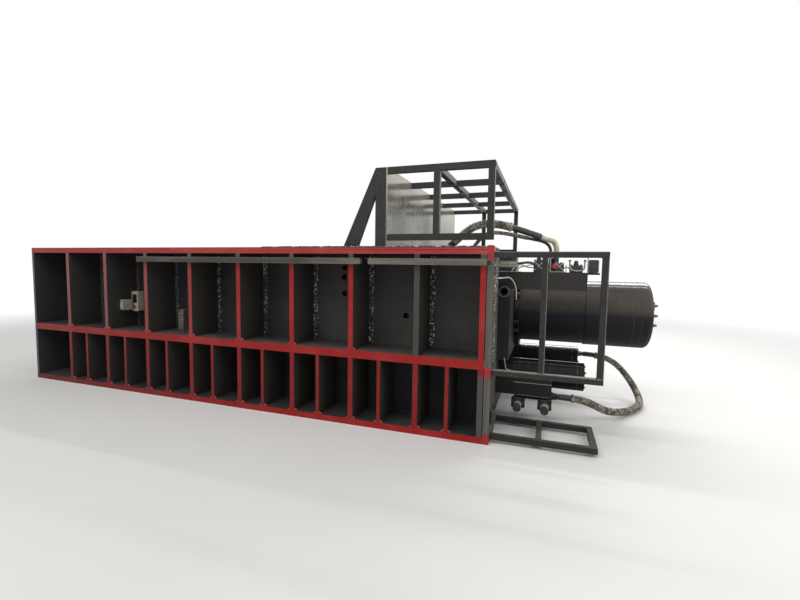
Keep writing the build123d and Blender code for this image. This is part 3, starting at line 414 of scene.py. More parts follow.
def tube_paint(name, tone=TUBE_PAINT, lit_side=1.1, lit_top=1.0):
    """Dark enamel on guard tubes and brackets, with a painted sheen on the faces that look up or
    towards the crown, stronger in patches.
    """
    finish = Finish(name, 0.48, Specular_IOR_Level=0.22)
    rub = finish.patches(7, 5, 0.65, 0.38, 0.70)
    # Painted sheen: faces that look up or towards the crown are lightened towards EDGE_SHEEN, as where
    # the light falls.
    upward = finish.fade(finish.face_z, 0.4, 0.9) * lit_top
    upward = upward.larger(finish.fade(finish.face_x, 0.5, 0.9) * lit_side)
    colour = finish.mix(rub * 0.45, tone, GREY_DARK)
    colour = finish.mix((upward * (0.35 + 0.5 * rub)).smaller(1.0), colour, EDGE_SHEEN)
    # Painted highlight along the outer corners of the guard tubes.
    colour = finish.mix(arris_highlight(finish) * (0.45 + 0.4 * rub), colour, EDGE_SHEEN)
    colour = finish.mix(finish.patches(70, 3, 0.6, 0.69, 0.72) * 0.5, colour, BARE_STEEL)
    return finish.cover(colour, 0.42 + 0.25 * rub, (80, 2, 0.5), 0.06)


def trunking_paint(name):
    """Dull grey-brown cover of the cable trunking with scuffs along its length."""
    finish = Finish(name, 0.55, Specular_IOR_Level=0.25)
    streak = finish.patches(3, 5, 0.6, 0.35, 0.72, (0.8, 6, 6))
    left = finish.fade(finish.x, RIB_PLACES[-2], RIB_PLACES[-2] - 0.6)
    share = (streak * 0.6 + left * 0.75).smaller(1.0)
    colour = finish.mix(share, TRUNKING_BROWN, TRUNKING_DARK)
    return finish.cover(dusted(finish, colour, 0.8), 0.45 + 0.25 * streak)


def floor_plate(name):
    """Walkway plate: paler towards its outer edge, a painted pool of light, mottled grey with drip
    marks near the column.
    """
    finish = Finish(name, 0.75, 0.55)
    cloud = finish.patches(3.4, 7, 0.68, 0.36, 0.66, distortion=0.6)
    drip = finish.patches(5, 5, 0.6, 0.52, 0.74, (2, 6, 0.8))
    grit = finish.patches(34, 5, 0.7, 0.46, 0.66)
    # Painted light: the plate pales towards its upper edge, as if lit from the crown side.
    pale = finish.fade(finish.z + cloud * 0.14, TOP + 0.34, TOP + 0.70)
    colour = finish.mix(pale, finish.mix(cloud * 0.7, PLATE_GREY, PLATE_CLOUD), PLATE_LIGHT)
    colour = finish.mix(drip * (0.60 - 0.45 * pale), colour, PLATE_STAIN)
    colour = finish.mix(grit * 0.22, colour, PLATE_STAIN)
    return finish.cover(colour, 0.13 + 0.10 * cloud + 0.05 * grit)


def cylinder_gloss(name, dust=1.0, coat=0.0, gloss=0.24):
    """Barrel enamel: blue-black and satin below; the upper half brown-grey, partly dust and partly a
    painted reflection of the hall; bright along its crest.
    """
    finish = Finish(name, 0.4, Specular_IOR_Level=gloss)
    haze = finish.patches(2.6, 6, 0.66, 0.36, 0.72, (0.6, 1, 1))
    upward = finish.fade(finish.face_z, -0.05, 0.22)
    rings = finish.patches(7, 4, 0.6, 0.50, 0.74, (6, 0.4, 0.4))
    # The share named dust lightens the upper half to brown-grey: partly dust, partly a painted
    # reflection of the hall.
    colour = finish.mix(upward * (0.55 + 0.45 * haze) * dust, BLACK_GLOSS, BARREL_DUST_AND_REFLECTION)
    colour = finish.mix(rings * 0.22 * upward, colour, BARREL_RINGS)
    colour = finish.mix(finish.patches(55, 3, 0.6, 0.66, 0.72) * 0.12, colour, DUST)
    finish.feed("Coat Weight", coat * finish.fade(finish.face_z, 0.84, 0.93))
    return finish.cover(colour, 0.56 - 0.44 * finish.fade(finish.face_z, 0.55, 0.80))


def machined(name, tone, rough, lines=(60, 60, 1)):
    """Machined steel with fine tool marks and an oil film."""
    finish = Finish(name, rough, 1.0)
    marks = finish.noise(12, 3, 0.6, lines)
    film = finish.patches(3, 5, 0.6, 0.4, 0.7)
    oiled = tuple(channel * 0.5 for channel in tone)
    colour = finish.mix(film * 0.45, tone, oiled)
    return finish.cover(colour, rough + 0.14 * marks, marks, 0.05, 0.0005)


def bolt_black(name):
    """Black oxide on bolts, rubbed on the corners."""
    finish = Finish(name, 0.38, 0.6)
    worn = finish.patches(45, 4, 0.6, 0.48, 0.68)
    colour = finish.mix(worn * 0.5, BOLT_BLACK, BOLT_WORN)
    return finish.cover(dusted(finish, colour, 0.4), 0.32 + 0.25 * worn)


def weld_bead(name, tone, slag_share):
    """Bare weld metal with dark slag, and pale spatter beads that grow towards the crown."""
    finish = Finish(name, 0.45, 0.2, Specular_IOR_Level=0.3)
    slag = finish.patches(42, 4, 0.7, 0.40, 0.58)
    colour = finish.mix(slag * slag_share, tone, PRIMER)
    spatter = finish.patches(46, 3, 0.6, 0.54, 0.59) * finish.patches(6, 3, 0.5, 0.30, 0.52)
    toward_crown = finish.fade(finish.x, RIB_PLACES[1], RIB_PLACES[5])
    colour = finish.mix(spatter * (0.12 + 0.75 * toward_crown), colour, WELD_SPATTER)
    return finish.cover(colour, 0.35 + 0.3 * slag, (120, 4, 0.7), 0.5, 0.002)


def flat_paint(name, tone, dirt, amount, rough, scale, gloss=0.5):
    """Plain enamel or moulded plastic with grubby patches."""
    finish = Finish(name, rough, Specular_IOR_Level=gloss)
    patch = finish.patches(scale, 5, 0.65, 0.42, 0.70)
    colour = finish.mix(patch * amount, tone, dirt)
    return finish.cover(colour, rough + 0.15 * patch, (scale * 8, 3, 0.5), 0.05, 0.0005)


def elbow_primer(name):
    """Cream primer of the steel elbow, brighter on its outer bend, a painted highlight, and black at
    its foot.
    """
    finish = Finish(name, 0.24)
    patch = finish.patches(18, 5, 0.65, 0.42, 0.70)
    # Painted highlight on the faces towards the crown.
    outer = finish.fade(finish.face_x, 0.1, 0.8)
    colour = finish.mix(patch * 0.55, finish.mix(outer * 0.8, CREAM, CREAM_HIGHLIGHT), CREAM_DIRT)
    foot = finish.fade(finish.z + patch * 0.01, ELBOW_FOOT + 0.008, ELBOW_FOOT - 0.008)
    colour = finish.mix(foot, colour, BOLT_BLACK)
    return finish.cover(colour, 0.24 + 0.15 * patch + 0.25 * foot)


def sleeve(name):
    """Spiral guard of the hoses: dusty plastic turns, dark in the grooves, with pale flecks."""
    finish = Finish(name, 0.6)
    grime = finish.patches(13, 6, 0.7, 0.42, 0.56)
    fine = finish.patches(60, 4, 0.65, 0.46, 0.58)
    fleck = finish.patches(42, 3, 0.6, 0.56, 0.62, (1, 1, 1), shift=(3, 1, 2))
    colour = finish.mix(grime * 0.85, SLEEVE, SLEEVE_DARK)
    colour = finish.mix(fine * 0.60, colour, SLEEVE_GROOVE)
    return finish.cover(finish.mix(fleck * 0.75, colour, SLEEVE_FLECK), 0.45 + 0.3 * grime)


# Enamels and plastics: material, tone, dirt, share of dirt, roughness, scale of patches, gloss
FLAT_PAINTS = {
    "tray": ("tray_coating", (0.36, 0.34, 0.28), (0.13, 0.12, 0.095), 0.5, 0.5, 18),
    "dark_weld": ("painted_weld", (0.015, 0.015, 0.017), (0.040, 0.036, 0.030), 0.5, 0.55, 30, 0.25),
    "seam": ("barrel_seam_enamel", (0.032, 0.030, 0.028), (0.075, 0.068, 0.058), 0.5, 0.32, 30),
    # Pale edge enamel: on the boss rim it is a painted highlight.
    "light_edge": ("pale_edge_paint", (0.165, 0.158, 0.140), (0.060, 0.056, 0.048), 0.6, 0.42, 16),
    "pale_paint": ("galvanised_coating", (0.36, 0.35, 0.315), (0.10, 0.09, 0.075), 0.45, 0.36, 30),
    "maroon": ("gland_enamel", (0.060, 0.012, 0.014), (0.03, 0.010, 0.010), 0.5, 0.4, 30),
    "manifold": ("manifold_enamel", (0.012, 0.011, 0.010), (0.026, 0.024, 0.021), 0.6, 0.5, 9, 0.22),
    "red_weld": ("red_weld_enamel", (0.33, 0.024, 0.021), (0.42, 0.10, 0.085), 0.6, 0.45, 20, 0.3),
    "red_block": ("red_block_enamel", RED, RED_WORN, 0.6, 0.38, 16),
    "rubber": ("hose_rubber", (0.020, 0.020, 0.019), (0.085, 0.078, 0.066), 0.5, 0.55, 14),
    "box_grey": ("box_plastic", (0.42, 0.41, 0.36), (0.20, 0.18, 0.14), 0.5, 0.5, 26),
    "box_cream": ("control_box_plastic", (0.52, 0.46, 0.34), (0.24, 0.20, 0.13), 0.5, 0.5, 26),
    "box_steel": ("distributor_paint", (0.16, 0.15, 0.13), GREY_DARK, 0.5, 0.5, 12),
    "cable": ("cable_jacket", (0.62, 0.60, 0.55), (0.30, 0.27, 0.21), 0.4, 0.45, 30),
    "valve": ("valve_black", (0.022, 0.022, 0.022), (0.10, 0.09, 0.075), 0.45, 0.4, 22),
    "red_cap": ("valve_red", (0.36, 0.028, 0.024), RED_DARK, 0.5, 0.4, 30),
    "pipe": ("pipe_primer", (0.046, 0.038, 0.033), GREY_DARK, 0.6, 0.6, 16),
    "glass": ("dark_window", (0.012, 0.014, 0.014), (0.03, 0.03, 0.028), 0.3, 0.15, 12),
}
finishes = {key: flat_paint(*row) for key, row in FLAT_PAINTS.items()}
finishes.update({
    "red_edge": red_edged("red_edge_enamel"),
    "top_edge": red_edged("top_edge_enamel", 0.5, top_edge),
    "rib": red_edged("rib_enamel", 0.55, rib_front),
    "head": head_primer("head_plate_primer"),
    "speckled_weld": weld_bead("speckled_weld_metal", (0.050, 0.048, 0.045), 0.9),
    "pale_weld": weld_bead("pale_weld_metal", (0.30, 0.16, 0.13), 0.35),
    "rough_weld": weld_bead("rough_weld_metal", (0.20, 0.18, 0.14), 0.75),
    "dark_steel": machined("dark_steel", (0.16, 0.155, 0.145), 0.38, (12, 12, 12)),
    "primer": frame_primer("frame_primer", 0.35),
    "crown": frame_primer("crown_primer", 0.7),
    "grey": base_primer("grey_primer"),
    "tube": tube_paint("guard_enamel"),
    "floor_tube": tube_paint("floor_guard_enamel", (0.026, 0.024, 0.021), 0.45, 0.30),
    "shelf": tube_paint("shelf_enamel", (0.030, 0.026, 0.024), 0.2),
    "trunking": trunking_paint("trunking_enamel"),
    "plate": floor_plate("walkway_plate"),
    "gloss": cylinder_gloss("barrel_enamel"),
    "clamp_gloss": cylinder_gloss("clamp_barrel_enamel", 0.22, 1.0, 0.16),
    "knife": machined("ground_knife_steel", (0.50, 0.50, 0.50), 0.25),
    "chrome": machined("hard_chrome", (0.62, 0.62, 0.63), 0.10, (1, 30, 30)),
    "bronze": machined("guide_bronze", (0.36, 0.21, 0.075), 0.35),
    "bolt": bolt_black("black_bolts"),
    "sleeve": sleeve("hose_guard"),
    "cream": elbow_primer("cream_primer"),
})

NODE_FINISH = {
    "red_edge": "mid_flanges bottom_flanges",
    "top_edge": "top_flanges",
    "rib": "shear_bay_ribs clamp_bay_ribs clamp_bay_thin_ribs column_end_plates",
    "red_block": "flange_end_blocks",
    "primer": "column_webs foot_beam bed_beam knife_slide clamp_head",
    "crown": "crown_lower_plate crown_upper_plate crown_face_plates crown_ribs cylinder_mount_plate",
    "grey": "base_plate",
    "head": "column_head_plates",
    "tray": "wiring_tray",
    "knife": "lower_knives upper_knives",
    "bolt": "lower_knife_bolts upper_knife_bolts main_flange_bolts clamp_flange_bolts sensor_plug "
    "rod_clamp_ring hose_fittings pressure_line_flange pilot_line_fittings",
    "bronze": "side_liners gib_bars",
    "chrome": "main_rod clamp_rods",
    "gloss": "main_cylinder",
    "clamp_gloss": "clamp_cylinders",
    "tube": "crown_end_guard platform_railing platform_frame platform_braces",
    "floor_tube": "floor_side_guard",
    "plate": "platform_floor",
    "shelf": "valve_shelf",
    "manifold": "clamp_manifold",
    "trunking": "cable_trunking",
    "valve": "valve_blocks terminal_box cap_port_block",
    "red_cap": "safety_valve",
    "cream": "steel_elbow",
    "pipe": "manifold_pipe_stubs",
    "box_grey": "limit_switch_box",
    "box_cream": "valve_control_box",
    "box_steel": "grease_distributor",
    "rubber": "pressure_hose pilot_hose clamp_feed_hose",
    "cable": "sensor_cable",
}
for finish_name, names in NODE_FINISH.items():
    for node_name in names.split():
        cad_piece = nodes[node_name]
        if not cad_piece.material_slots:
            cad_piece.data.materials.append(finishes[finish_name].material)
        for material_slot in cad_piece.material_slots:
            material_slot.material = finishes[finish_name].material


def link(name, data):
    """A new object in the scene."""
    piece = bpy.data.objects.new(name, data)
    bpy.context.scene.collection.objects.link(piece)
    return piece


def smooth_tubes(name, runs, radius, steps, sides, order=3):
    """A curve with a tube along each list of points."""
    curve = bpy.data.curves.new(name, "CURVE")
    curve.dimensions = "3D"
    for points in runs:
        spline = curve.splines.new("NURBS")
        spline.points.add(len(points) - 1)
        for point, place in zip(spline.points, points):
            point.co = (*place, 1)
        spline.order_u = min(order, len(points))
        spline.use_endpoint_u = True
    curve.resolution_u = steps
    curve.bevel_depth = radius
    curve.bevel_resolution = sides
    curve.use_fill_caps = True
    return curve


# Cords, along the routes that their tubes follow
def over_crown(points):
    """Route points from distances behind the mounting face, inside the column and over the frame."""
    return [
        (MOUNT_FACE + x / 1000, -HALF_WIDTH + y / 1000, TOP + z / 1000) for x, y, z in points
    ]


def hose(node, points, radius, length, far_end, stiffness, finish="rubber", **more):
    """A free hose on one smooth line, with its route's points as control points."""
    piece = link(node + "_line", smooth_tubes(node + "_line", [points], radius, 12, 8))
    piece.data.materials.append(finishes[finish].material)
    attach(piece, STILL)
    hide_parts(node)
    return piece


HOSE_RADIUS = 0.031
PILOT_RADIUS = 0.015
CABLE_RADIUS = 0.006
pressure_line = hose("pressure_hose", over_crown([
    (-552, 500, 68), (-425, 500, 195), (-270, 512, 255),
    (-100, 580, 248), (75, 656, 199), (271, 732, 133),
]), HOSE_RADIUS, 0.941, "object", "stiff")
pilot_line = hose("pilot_hose", over_crown([
    (-339, 530, 54), (-275, 534, 140), (-170, 565, 173), (-2, 632, 153),
    (170, 720, 115), (310, 802, 91), (375, 800, 25), (375, 800, -75),
]), PILOT_RADIUS, 0.943, "object", "medium")
clamp_line = hose("clamp_feed_hose", [(along(u), y / 1000, z / 1000) for u, y, z in (
    (7012, 520, 505), (7190, 520, 505), (7400, 515, 420), (7560, 430, 220),
    (7622, 250, 80), (7585, 0, 46), (7400, -290, 46), (7180, -560, 105),
    (6980, -690, 230), (6835, -723, 258), (6715, -723, 258),
)], HOSE_RADIUS, 2.370, "object", "stiff")
hose("sensor_cable", over_crown([
    (-94, 120, -273), (-34, 120, -273), (-10, 230, -270), (-3, 390, -269), (6, 532, -278),
    (26, 630, -306), (52, 650, -367), (60, 654, -435), (60, 654, -495),
]), CABLE_RADIUS, 0.766, "connector", "medium", "cable", with_pieces=[nodes["sensor_plug"]])


def hose_line(piece):
    """Points of a hose's own line, read from its curve without thickness."""
    curve = piece.data.copy()
    curve.bevel_depth = 0.0
    line = link("line", curve)
    made = bpy.data.meshes.new_from_object(line)
    places = [tuple(vertex.co) for vertex in made.vertices]
    bpy.data.objects.remove(line)
    bpy.data.meshes.remove(made)
    return places


# Modifier trees for what repeats or follows a line
class Recipe:
    """A tree of geometry nodes with named inputs. Run on a base mesh it leaves a plain mesh."""

    def __init__(self, name, **sizes):
        self.tree = bpy.data.node_groups.new(name, "GeometryNodeTree")
        self.keys = {}
        self.open("Geometry", "Geometry")
        self.open("Geometry", "Geometry", "OUTPUT")
        for size, value in sizes.items():
            kind = "Vector" if isinstance(value, tuple) else "Float"
            self.open(size, kind).default_value = value
        self.open("finish", "Material")
        self.start = self.tree.nodes.new("NodeGroupInput")
        self.base = self.start.outputs["Geometry"]

    def open(self, name, kind, side="INPUT"):
        """Adds a named socket to the tree's own inputs or outputs."""
        socket = self.tree.interface.new_socket(name, in_out=side, socket_type="NodeSocket" + kind)
        self.keys[name] = socket.identifier
        return socket

    def size(self, name):
        return self.start.outputs[name]

    def add(self, kind, output=0, settings=None, **inputs):
        """Adds a node. An underscore stands for the space in a socket's name."""
        named = {name.replace("_", " "): value for name, value in inputs.items()}
        return add_node(self.tree, kind, settings, named).outputs[output]

    def maths(self, operation, *values, kind="ShaderNodeMath", **inputs):
        inputs.update(enumerate(values))
        return add_node(self.tree, kind, {"operation": operation}, inputs).outputs[0]

    def vector(self, operation, *values, **inputs):
        return self.maths(operation, *values, kind="ShaderNodeVectorMath", **inputs)

    def noise(self, scale, detail, output="Fac"):
        place = self.add("GeometryNodeInputPosition")
        return self.add("ShaderNodeTexNoise", output, Vector=place, Scale=scale, Detail=detail)

    def tube(self, offset, sides, radius, swell):
        """Closed tubes along the base lines, cut into steps and moved by an offset."""
        curve = self.add("GeometryNodeMeshToCurve", Mesh=self.base)
        by_length = {"mode": "LENGTH"}
        curve = self.add(
            "GeometryNodeResampleCurve", settings=by_length, Curve=curve, Length=self.size("step")
        )
        curve = self.add("GeometryNodeSetPosition", Geometry=curve, Offset=offset)
        ring = self.add("GeometryNodeCurvePrimitiveCircle", Resolution=sides, Radius=radius)
        bead = self.add(
            "GeometryNodeCurveToMesh", Curve=curve, Profile_Curve=ring, Scale=swell, Fill_Caps=True
        )
        return self.close(self.add("GeometryNodeSetShadeSmooth", Geometry=bead))

    def close(self, geometry):
        """Makes the copies real and gives them their finish."""
        real = self.add("GeometryNodeRealizeInstances", Geometry=geometry)
        painted = self.add("GeometryNodeSetMaterial", Geometry=real, Material=self.size("finish"))
        self.tree.links.new(painted, self.tree.nodes.new("NodeGroupOutput").inputs["Geometry"])
        return self

    def run(self, name, runs, finish, slot, **values):
        """Makes the piece that this tree gives for open lines, each a list of places."""
        base = bpy.data.meshes.new(name + "_base")
        edges = []
        first = 0
        for run in runs:
            edges += [(first + number, first + number + 1) for number in range(len(run) - 1)]
            first += len(run)
        base.from_pydata([place for run in runs for place in run], edges, [])
        piece = link(name, base)
        modifier = piece.modifiers.new(name, "NODES")
        modifier.node_group = self.tree
        modifier[self.keys["finish"]] = finishes[finish].material
        for size, value in values.items():
            modifier[self.keys[size]] = value
        bpy.context.view_layer.update()
        posed = piece.evaluated_get(bpy.context.evaluated_depsgraph_get())
        made = bpy.data.meshes.new_from_object(posed)
        piece.modifiers.clear()
        piece.data = made
        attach(piece, STILL)


def weld_seam():
    """A bead along each line: uneven in thickness, wandering a little, closed at its ends."""
    seam = Recipe(
        "weld_seam", radius=0.008, step=0.012, rough=0.5, wander=0.002, grain=60.0, sides=6.0
    )
    rough = seam.size("rough")
    swirl = seam.noise(seam.size("grain"), 2.0, "Color")
    centred = seam.vector("SUBTRACT", swirl, (0.5, 0.5, 0.5))
    shift = seam.vector("SCALE", centred, Scale=seam.size("wander"))
    lump = seam.noise(seam.size("grain"), 3.0)
    least = seam.maths("MULTIPLY_ADD", rough, -0.5, 1.0)
    swell = seam.maths("MULTIPLY_ADD", lump, rough, least)
    sides = seam.add("FunctionNodeFloatToInt", Float=seam.size("sides"))
    return seam.tube(shift, sides, seam.size("radius"), swell)


def spiral_guard():
    """A strip wound round a hose's line, with its turns a pitch apart."""
    guard = Recipe("spiral_guard", winding=0.036, strip=0.006, pitch=0.015, step=0.0016, uneven=0.2)
    travelled = guard.add("GeometryNodeSplineParameter", "Length")
    turn = guard.maths("MULTIPLY", guard.maths("DIVIDE", travelled, guard.size("pitch")), math.tau)
    side = guard.add("GeometryNodeInputNormal")
    upward = guard.vector("CROSS_PRODUCT", guard.add("GeometryNodeInputTangent"), side)
    around = guard.vector(
        "ADD",
        guard.vector("SCALE", side, Scale=guard.maths("COSINE", turn)),
        guard.vector("SCALE", upward, Scale=guard.maths("SINE", turn)),
    )
    offset = guard.vector("SCALE", around, Scale=guard.size("winding"))
    swell = guard.maths("MULTIPLY_ADD", guard.noise(30.0, 2.0), guard.size("uneven"), 0.9)
    return guard.tube(offset, 5, guard.size("strip"), swell)


def hex_bolts():
    """Hexagon heads with tips on washers at the base points, each turned by chance."""
    washer_top = 0.002
    bolts = Recipe("hex_bolts", head=0.016, height=0.012, washer=0.021, turn=(0.0, 0.0, 0.0))
    head, height = bolts.size("head"), bolts.size("height")

    def above_washer(part, rise):
        lift = bolts.add("ShaderNodeCombineXYZ", Z=bolts.maths("ADD", rise, washer_top))
        return bolts.add("GeometryNodeTransform", Geometry=part, Translation=lift)

    hexagon = bolts.add("GeometryNodeMeshCylinder", Vertices=6, Radius=head, Depth=height)
    washer = bolts.add(
        "GeometryNodeMeshCylinder", Vertices=18, Radius=bolts.size("washer"), Depth=2 * washer_top
    )
    tip = bolts.add(
        "GeometryNodeMeshCone", Vertices=12, Radius_Top=bolts.maths("MULTIPLY", head, 0.42),
        Radius_Bottom=bolts.maths("MULTIPLY", head, 0.50),
        Depth=bolts.maths("MULTIPLY", height, 0.3),
    )
    joint = bolts.tree.nodes.new("GeometryNodeJoinGeometry")
    hexagon = above_washer(hexagon, bolts.maths("MULTIPLY", height, 0.5))
    for part in (hexagon, washer, above_washer(tip, height)):
        bolts.tree.links.new(part, joint.inputs[0])
    copies = bolts.add(
        "GeometryNodeInstanceOnPoints", Points=bolts.base, Instance=joint.outputs[0],
        Rotation=bolts.size("turn"),
    )
    chance = bolts.add(
        "FunctionNodeRandomValue", "Value", {"data_type": "FLOAT"}, Min=0.0, Max=math.tau, Seed=7
    )
    spin = bolts.add("ShaderNodeCombineXYZ", Z=chance)
    return bolts.close(bolts.add(
        "GeometryNodeRotateInstances", Instances=copies, Rotation=spin, Local_Space=True
    ))


seam_recipe = weld_seam()
guard_recipe = spiral_guard()
bolt_recipe = hex_bolts()
TURN_X = (0.0, math.pi / 2, 0.0)
TURN_FRONT = (math.pi / 2, 0.0, 0.0)
TURN_UP = (0.0, 0.0, 0.0)


def near(x, behind, z):
    """A place by its distance behind the front of the near column."""
    return x, behind - HALF_WIDTH, z


def upright(x, y, low_z, high_z):
    """A line straight up."""
    return [(x, y, low_z), (x, y, high_z)]


def seams(name, finish, slot, radius, step, rough, wander, grain, sides, runs):
    """Weld beads along lines, in sizes of the weld_seam tree."""
    sizes = {"radius": radius, "step": step, "rough": rough, "wander": wander, "grain": grain}
    seam_recipe.run(name, runs, finish, slot, sides=sides, **sizes)


def bolts(name, places, turn, head, height, washer, finish="bolt", slot="black_bolts"):
    """Bolts or screws at places, all facing one way."""
    sizes = {"turn": turn, "head": head, "height": height, "washer": washer}
    bolt_recipe.run(name, [[place] for place in places], finish, slot, **sizes)


# Pieces made from blocks, turned shapes and pipes
def settle(name, shape, finish, smooth=False):
    """Turns a built shape into a finished piece."""
    bmesh.ops.remove_doubles(shape, verts=shape.verts, dist=1e-6)
    bmesh.ops.recalc_face_normals(shape, faces=shape.faces)
    for face in shape.faces:
        face.smooth = smooth
    mesh = bpy.data.meshes.new(name)
    shape.to_mesh(mesh)
    shape.free()
    mesh.materials.append(finishes[finish].material)
    piece = link(name, mesh)
    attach(piece, STILL)
    return piece


def blocks(name, corners, finish, rounding=0.002):
    """One piece of rounded blocks, each given by its lowest and highest corner."""
    shape = bmesh.new()
    for low_corner, high_corner in corners:
        a, b = Vector(low_corner), Vector(high_corner)
        place = Matrix.Translation((a + b) / 2) @ Matrix.Diagonal((*(b - a), 1))
        made = bmesh.ops.create_cube(shape, size=1.0, matrix=place)
        edges = list({edge for vertex in made["verts"] for edge in vertex.link_edges})
        rounded = {"offset": rounding, "segments": 2, "profile": 0.5, "affect": "EDGES"}
        bmesh.ops.bevel(shape, geom=edges, **rounded)
    settle(name, shape, finish)


def turned(name, centres, direction, outline, finish, slot, sides):
    """Shapes turned about an axis: the outline gives pairs of distance along it and radius."""
    shape = bmesh.new()
    turn = Vector(direction).to_track_quat("Z", "Y").to_matrix().to_4x4()
    angles = [math.tau * number / sides for number in range(sides)]
    for centre in centres:
        place = Matrix.Translation(centre) @ turn
        rings = []
        for away, radius in outline:
            spots = [(radius * math.cos(angle), radius * math.sin(angle), away) for angle in angles]
            rings.append([shape.verts.new(place @ Vector(spot)) for spot in spots])
        for ring, following in zip(rings, rings[1:]):
            for number in range(sides):
                after = (number + 1) % sides
                shape.faces.new((ring[number], ring[after], following[after], following[number]))
        shape.faces.new(rings[0])
        shape.faces.new(list(reversed(rings[-1])))
    piece = settle(name, shape, finish, smooth=True)
    piece.data.set_sharp_from_angle(angle=math.radians(35))


def pipes(name, runs, radius, order=3):
    """Fixed pipes, each smooth along its own points."""
    line = link(name + "_line", smooth_tubes(name, runs, radius, 8, 3, order))
    shape = bmesh.new()
    made = bpy.data.meshes.new_from_object(line)
    shape.from_mesh(made)
    bpy.data.objects.remove(line)
    bpy.data.meshes.remove(made)
    settle(name, shape, "pale_paint", smooth=True)


# Weld seams of the columns
NEAR_WEB = -(WEB_FACE + 0.002)
NEAR_FRONT = 0.012 - HALF_WIDTH
LEVELS = (BOTTOM_HIGH, MID_LOW, MID_HIGH, TOP_UNDER)


def rib_sides(places, width, gaps=(0.002,)):
    """Places on both sides of each rib, at the given gaps from it."""
    return [place + side * (width / 2 + gap) for place in places for side in (-1, 1) for gap in gaps]


rib_faces = rib_sides(RIB_PLACES, RIB_WIDTH)
thin_faces = rib_sides(THIN_PLACES, THIN_WIDTH)
spatter_places = rib_sides(RIB_PLACES, RIB_WIDTH, (0.003, 0.021, 0.040))
FOOT_POINTS = ((-0.004, 0.020), (0.008, 0.009), (0.026, 0.002))
BEAD_FACE = HEAD_FACE + 0.001
ARRIS_Z = TOP + 0.001
BLOCK_FACE = CROWN_END - 0.001
# Material, slot, radius, step, unevenness, wandering, grain and sides, then the lines
COLUMN_SEAMS = {
    "upper_bay_seams": ("speckled_weld", "frame_paint", 0.011, 0.012, 1.3, 0.022, 36.0, 5.0, [
        upright(x, NEAR_WEB, MID_HIGH, TOP_UNDER) for x in spatter_places
    ]),
    "lower_bay_seams": ("dark_weld", "frame_paint", 0.008, 0.014, 0.7, 0.004, 40.0, 5.0, [
        upright(x, NEAR_WEB, BOTTOM_HIGH, MID_LOW) for x in rib_faces + thin_faces
    ]),
    "rib_end_seams": ("dark_weld", "frame_paint", 0.008, 0.024, 0.6, 0.003, 40.0, 5.0, [
        [(x, NEAR_WEB, level), (x, NEAR_FRONT, level)]
        for faces, levels in ((rib_faces, LEVELS), (thin_faces, LEVELS[:2]))
        for x in faces for level in levels
    ]),
    "web_seams": ("dark_weld", "frame_paint", 0.009, 0.020, 0.6, 0.003, 40.0, 5.0, [
        [(BASE_X + 0.035, NEAR_WEB, z), (CROWN_END - 0.07, NEAR_WEB, z)] for z in LEVELS
    ]),
    # Short feet where the ribs meet the front of the flanges
    "red_weld_feet": ("red_weld", "red_paint", 0.0115, 0.008, 0.3, 0.001, 60.0, 7.0, [
        [near(place + side * (width / 2 + away), 0.0145, level + rise) for away, rise in FOOT_POINTS]
        for places, width, level in (
            (RIB_PLACES, RIB_WIDTH, BOTTOM_HIGH),
            (RIB_PLACES[:-1], RIB_WIDTH, MID_HIGH),
            (THIN_PLACES, THIN_WIDTH, BOTTOM_HIGH),
        )
        for place in places for side in (-1, 1)
    ]),
    # Rough beads on the head plates, on the arris of the top flanges and on the end blocks
    "head_plate_beads": ("rough_weld", "grey_paint", 0.011, 0.007, 1.1, 0.016, 44.0, 7.0, [
        upright(BEAD_FACE, -y, foot, top) for y, foot, top in (
            (1.545, 1.30, 1.64), (1.520, 1.24, 1.66), (1.495, 1.22, 1.67), (1.470, 1.25, 1.66),
            (1.445, 1.28, 1.67), (1.420, 1.30, 1.66), (1.395, 1.34, 1.66), (1.370, 1.38, 1.65),
            (1.510, 0.72, 1.22), (1.490, 0.86, 1.26),
        )
    ]),
    "top_arris_beads": ("speckled_weld", "frame_paint", 0.0085, 0.008, 1.3, 0.008, 38.0, 5.0, [
        [near(THIN_PLACES[4], 0.010, ARRIS_Z), near(CROWN_END - 0.001, 0.010, ARRIS_Z)],
        [near(RIB_PLACES[5], 0.030, ARRIS_Z), near(CROWN_END - 0.02, 0.026, ARRIS_Z)],
    ]),
    "block_seams": ("red_weld", "red_paint", 0.0028, 0.006, 0.5, 0.001, 60.0, 6.0, [
        upright(BLOCK_FACE, 0.006 - HALF_WIDTH, foot, top)
        for foot, top in ((0.004, 0.092), (0.610, 0.692))
    ]),
    "top_block_seams": ("pale_weld", "grey_paint", 0.0036, 0.005, 1.2, 0.002, 70.0, 6.0, [
        upright(BLOCK_FACE, 0.009 - HALF_WIDTH, 1.660, 1.773)
    ]),
}
for name, (*look, runs) in COLUMN_SEAMS.items():
    seams(name, *look, runs + [[(x, -y, z) for x, y, z in run] for run in runs])

# Spiral guards of the hoses
PRESSURE_GUARD_END = MOUNT_FACE - 0.013
PILOT_GUARD_END = MOUNT_FACE + 0.150
pressure_places = hose_line(pressure_line)
clamp_places = hose_line(clamp_line)
pressure_guard = [place for place in pressure_places if place[0] < PRESSURE_GUARD_END]
pilot_guard = [place for place in hose_line(pilot_line) if place[0] < PILOT_GUARD_END]
for name, places, *sizes in (
    ("pressure_hose_guard", pressure_guard, 0.0360, 0.0062, 0.0155, 0.0016),
    ("pilot_hose_guard", pilot_guard, 0.0175, 0.0036, 0.0095, 0.0012),
    ("clamp_hose_guard", clamp_places[6:-6], 0.0350, 0.0062, 0.0165, 0.0022),
):
    sizes = dict(zip(("winding", "strip", "pitch", "step"), sizes))
    guard_recipe.run(name, [places], "sleeve", "hose_rubber", **sizes)


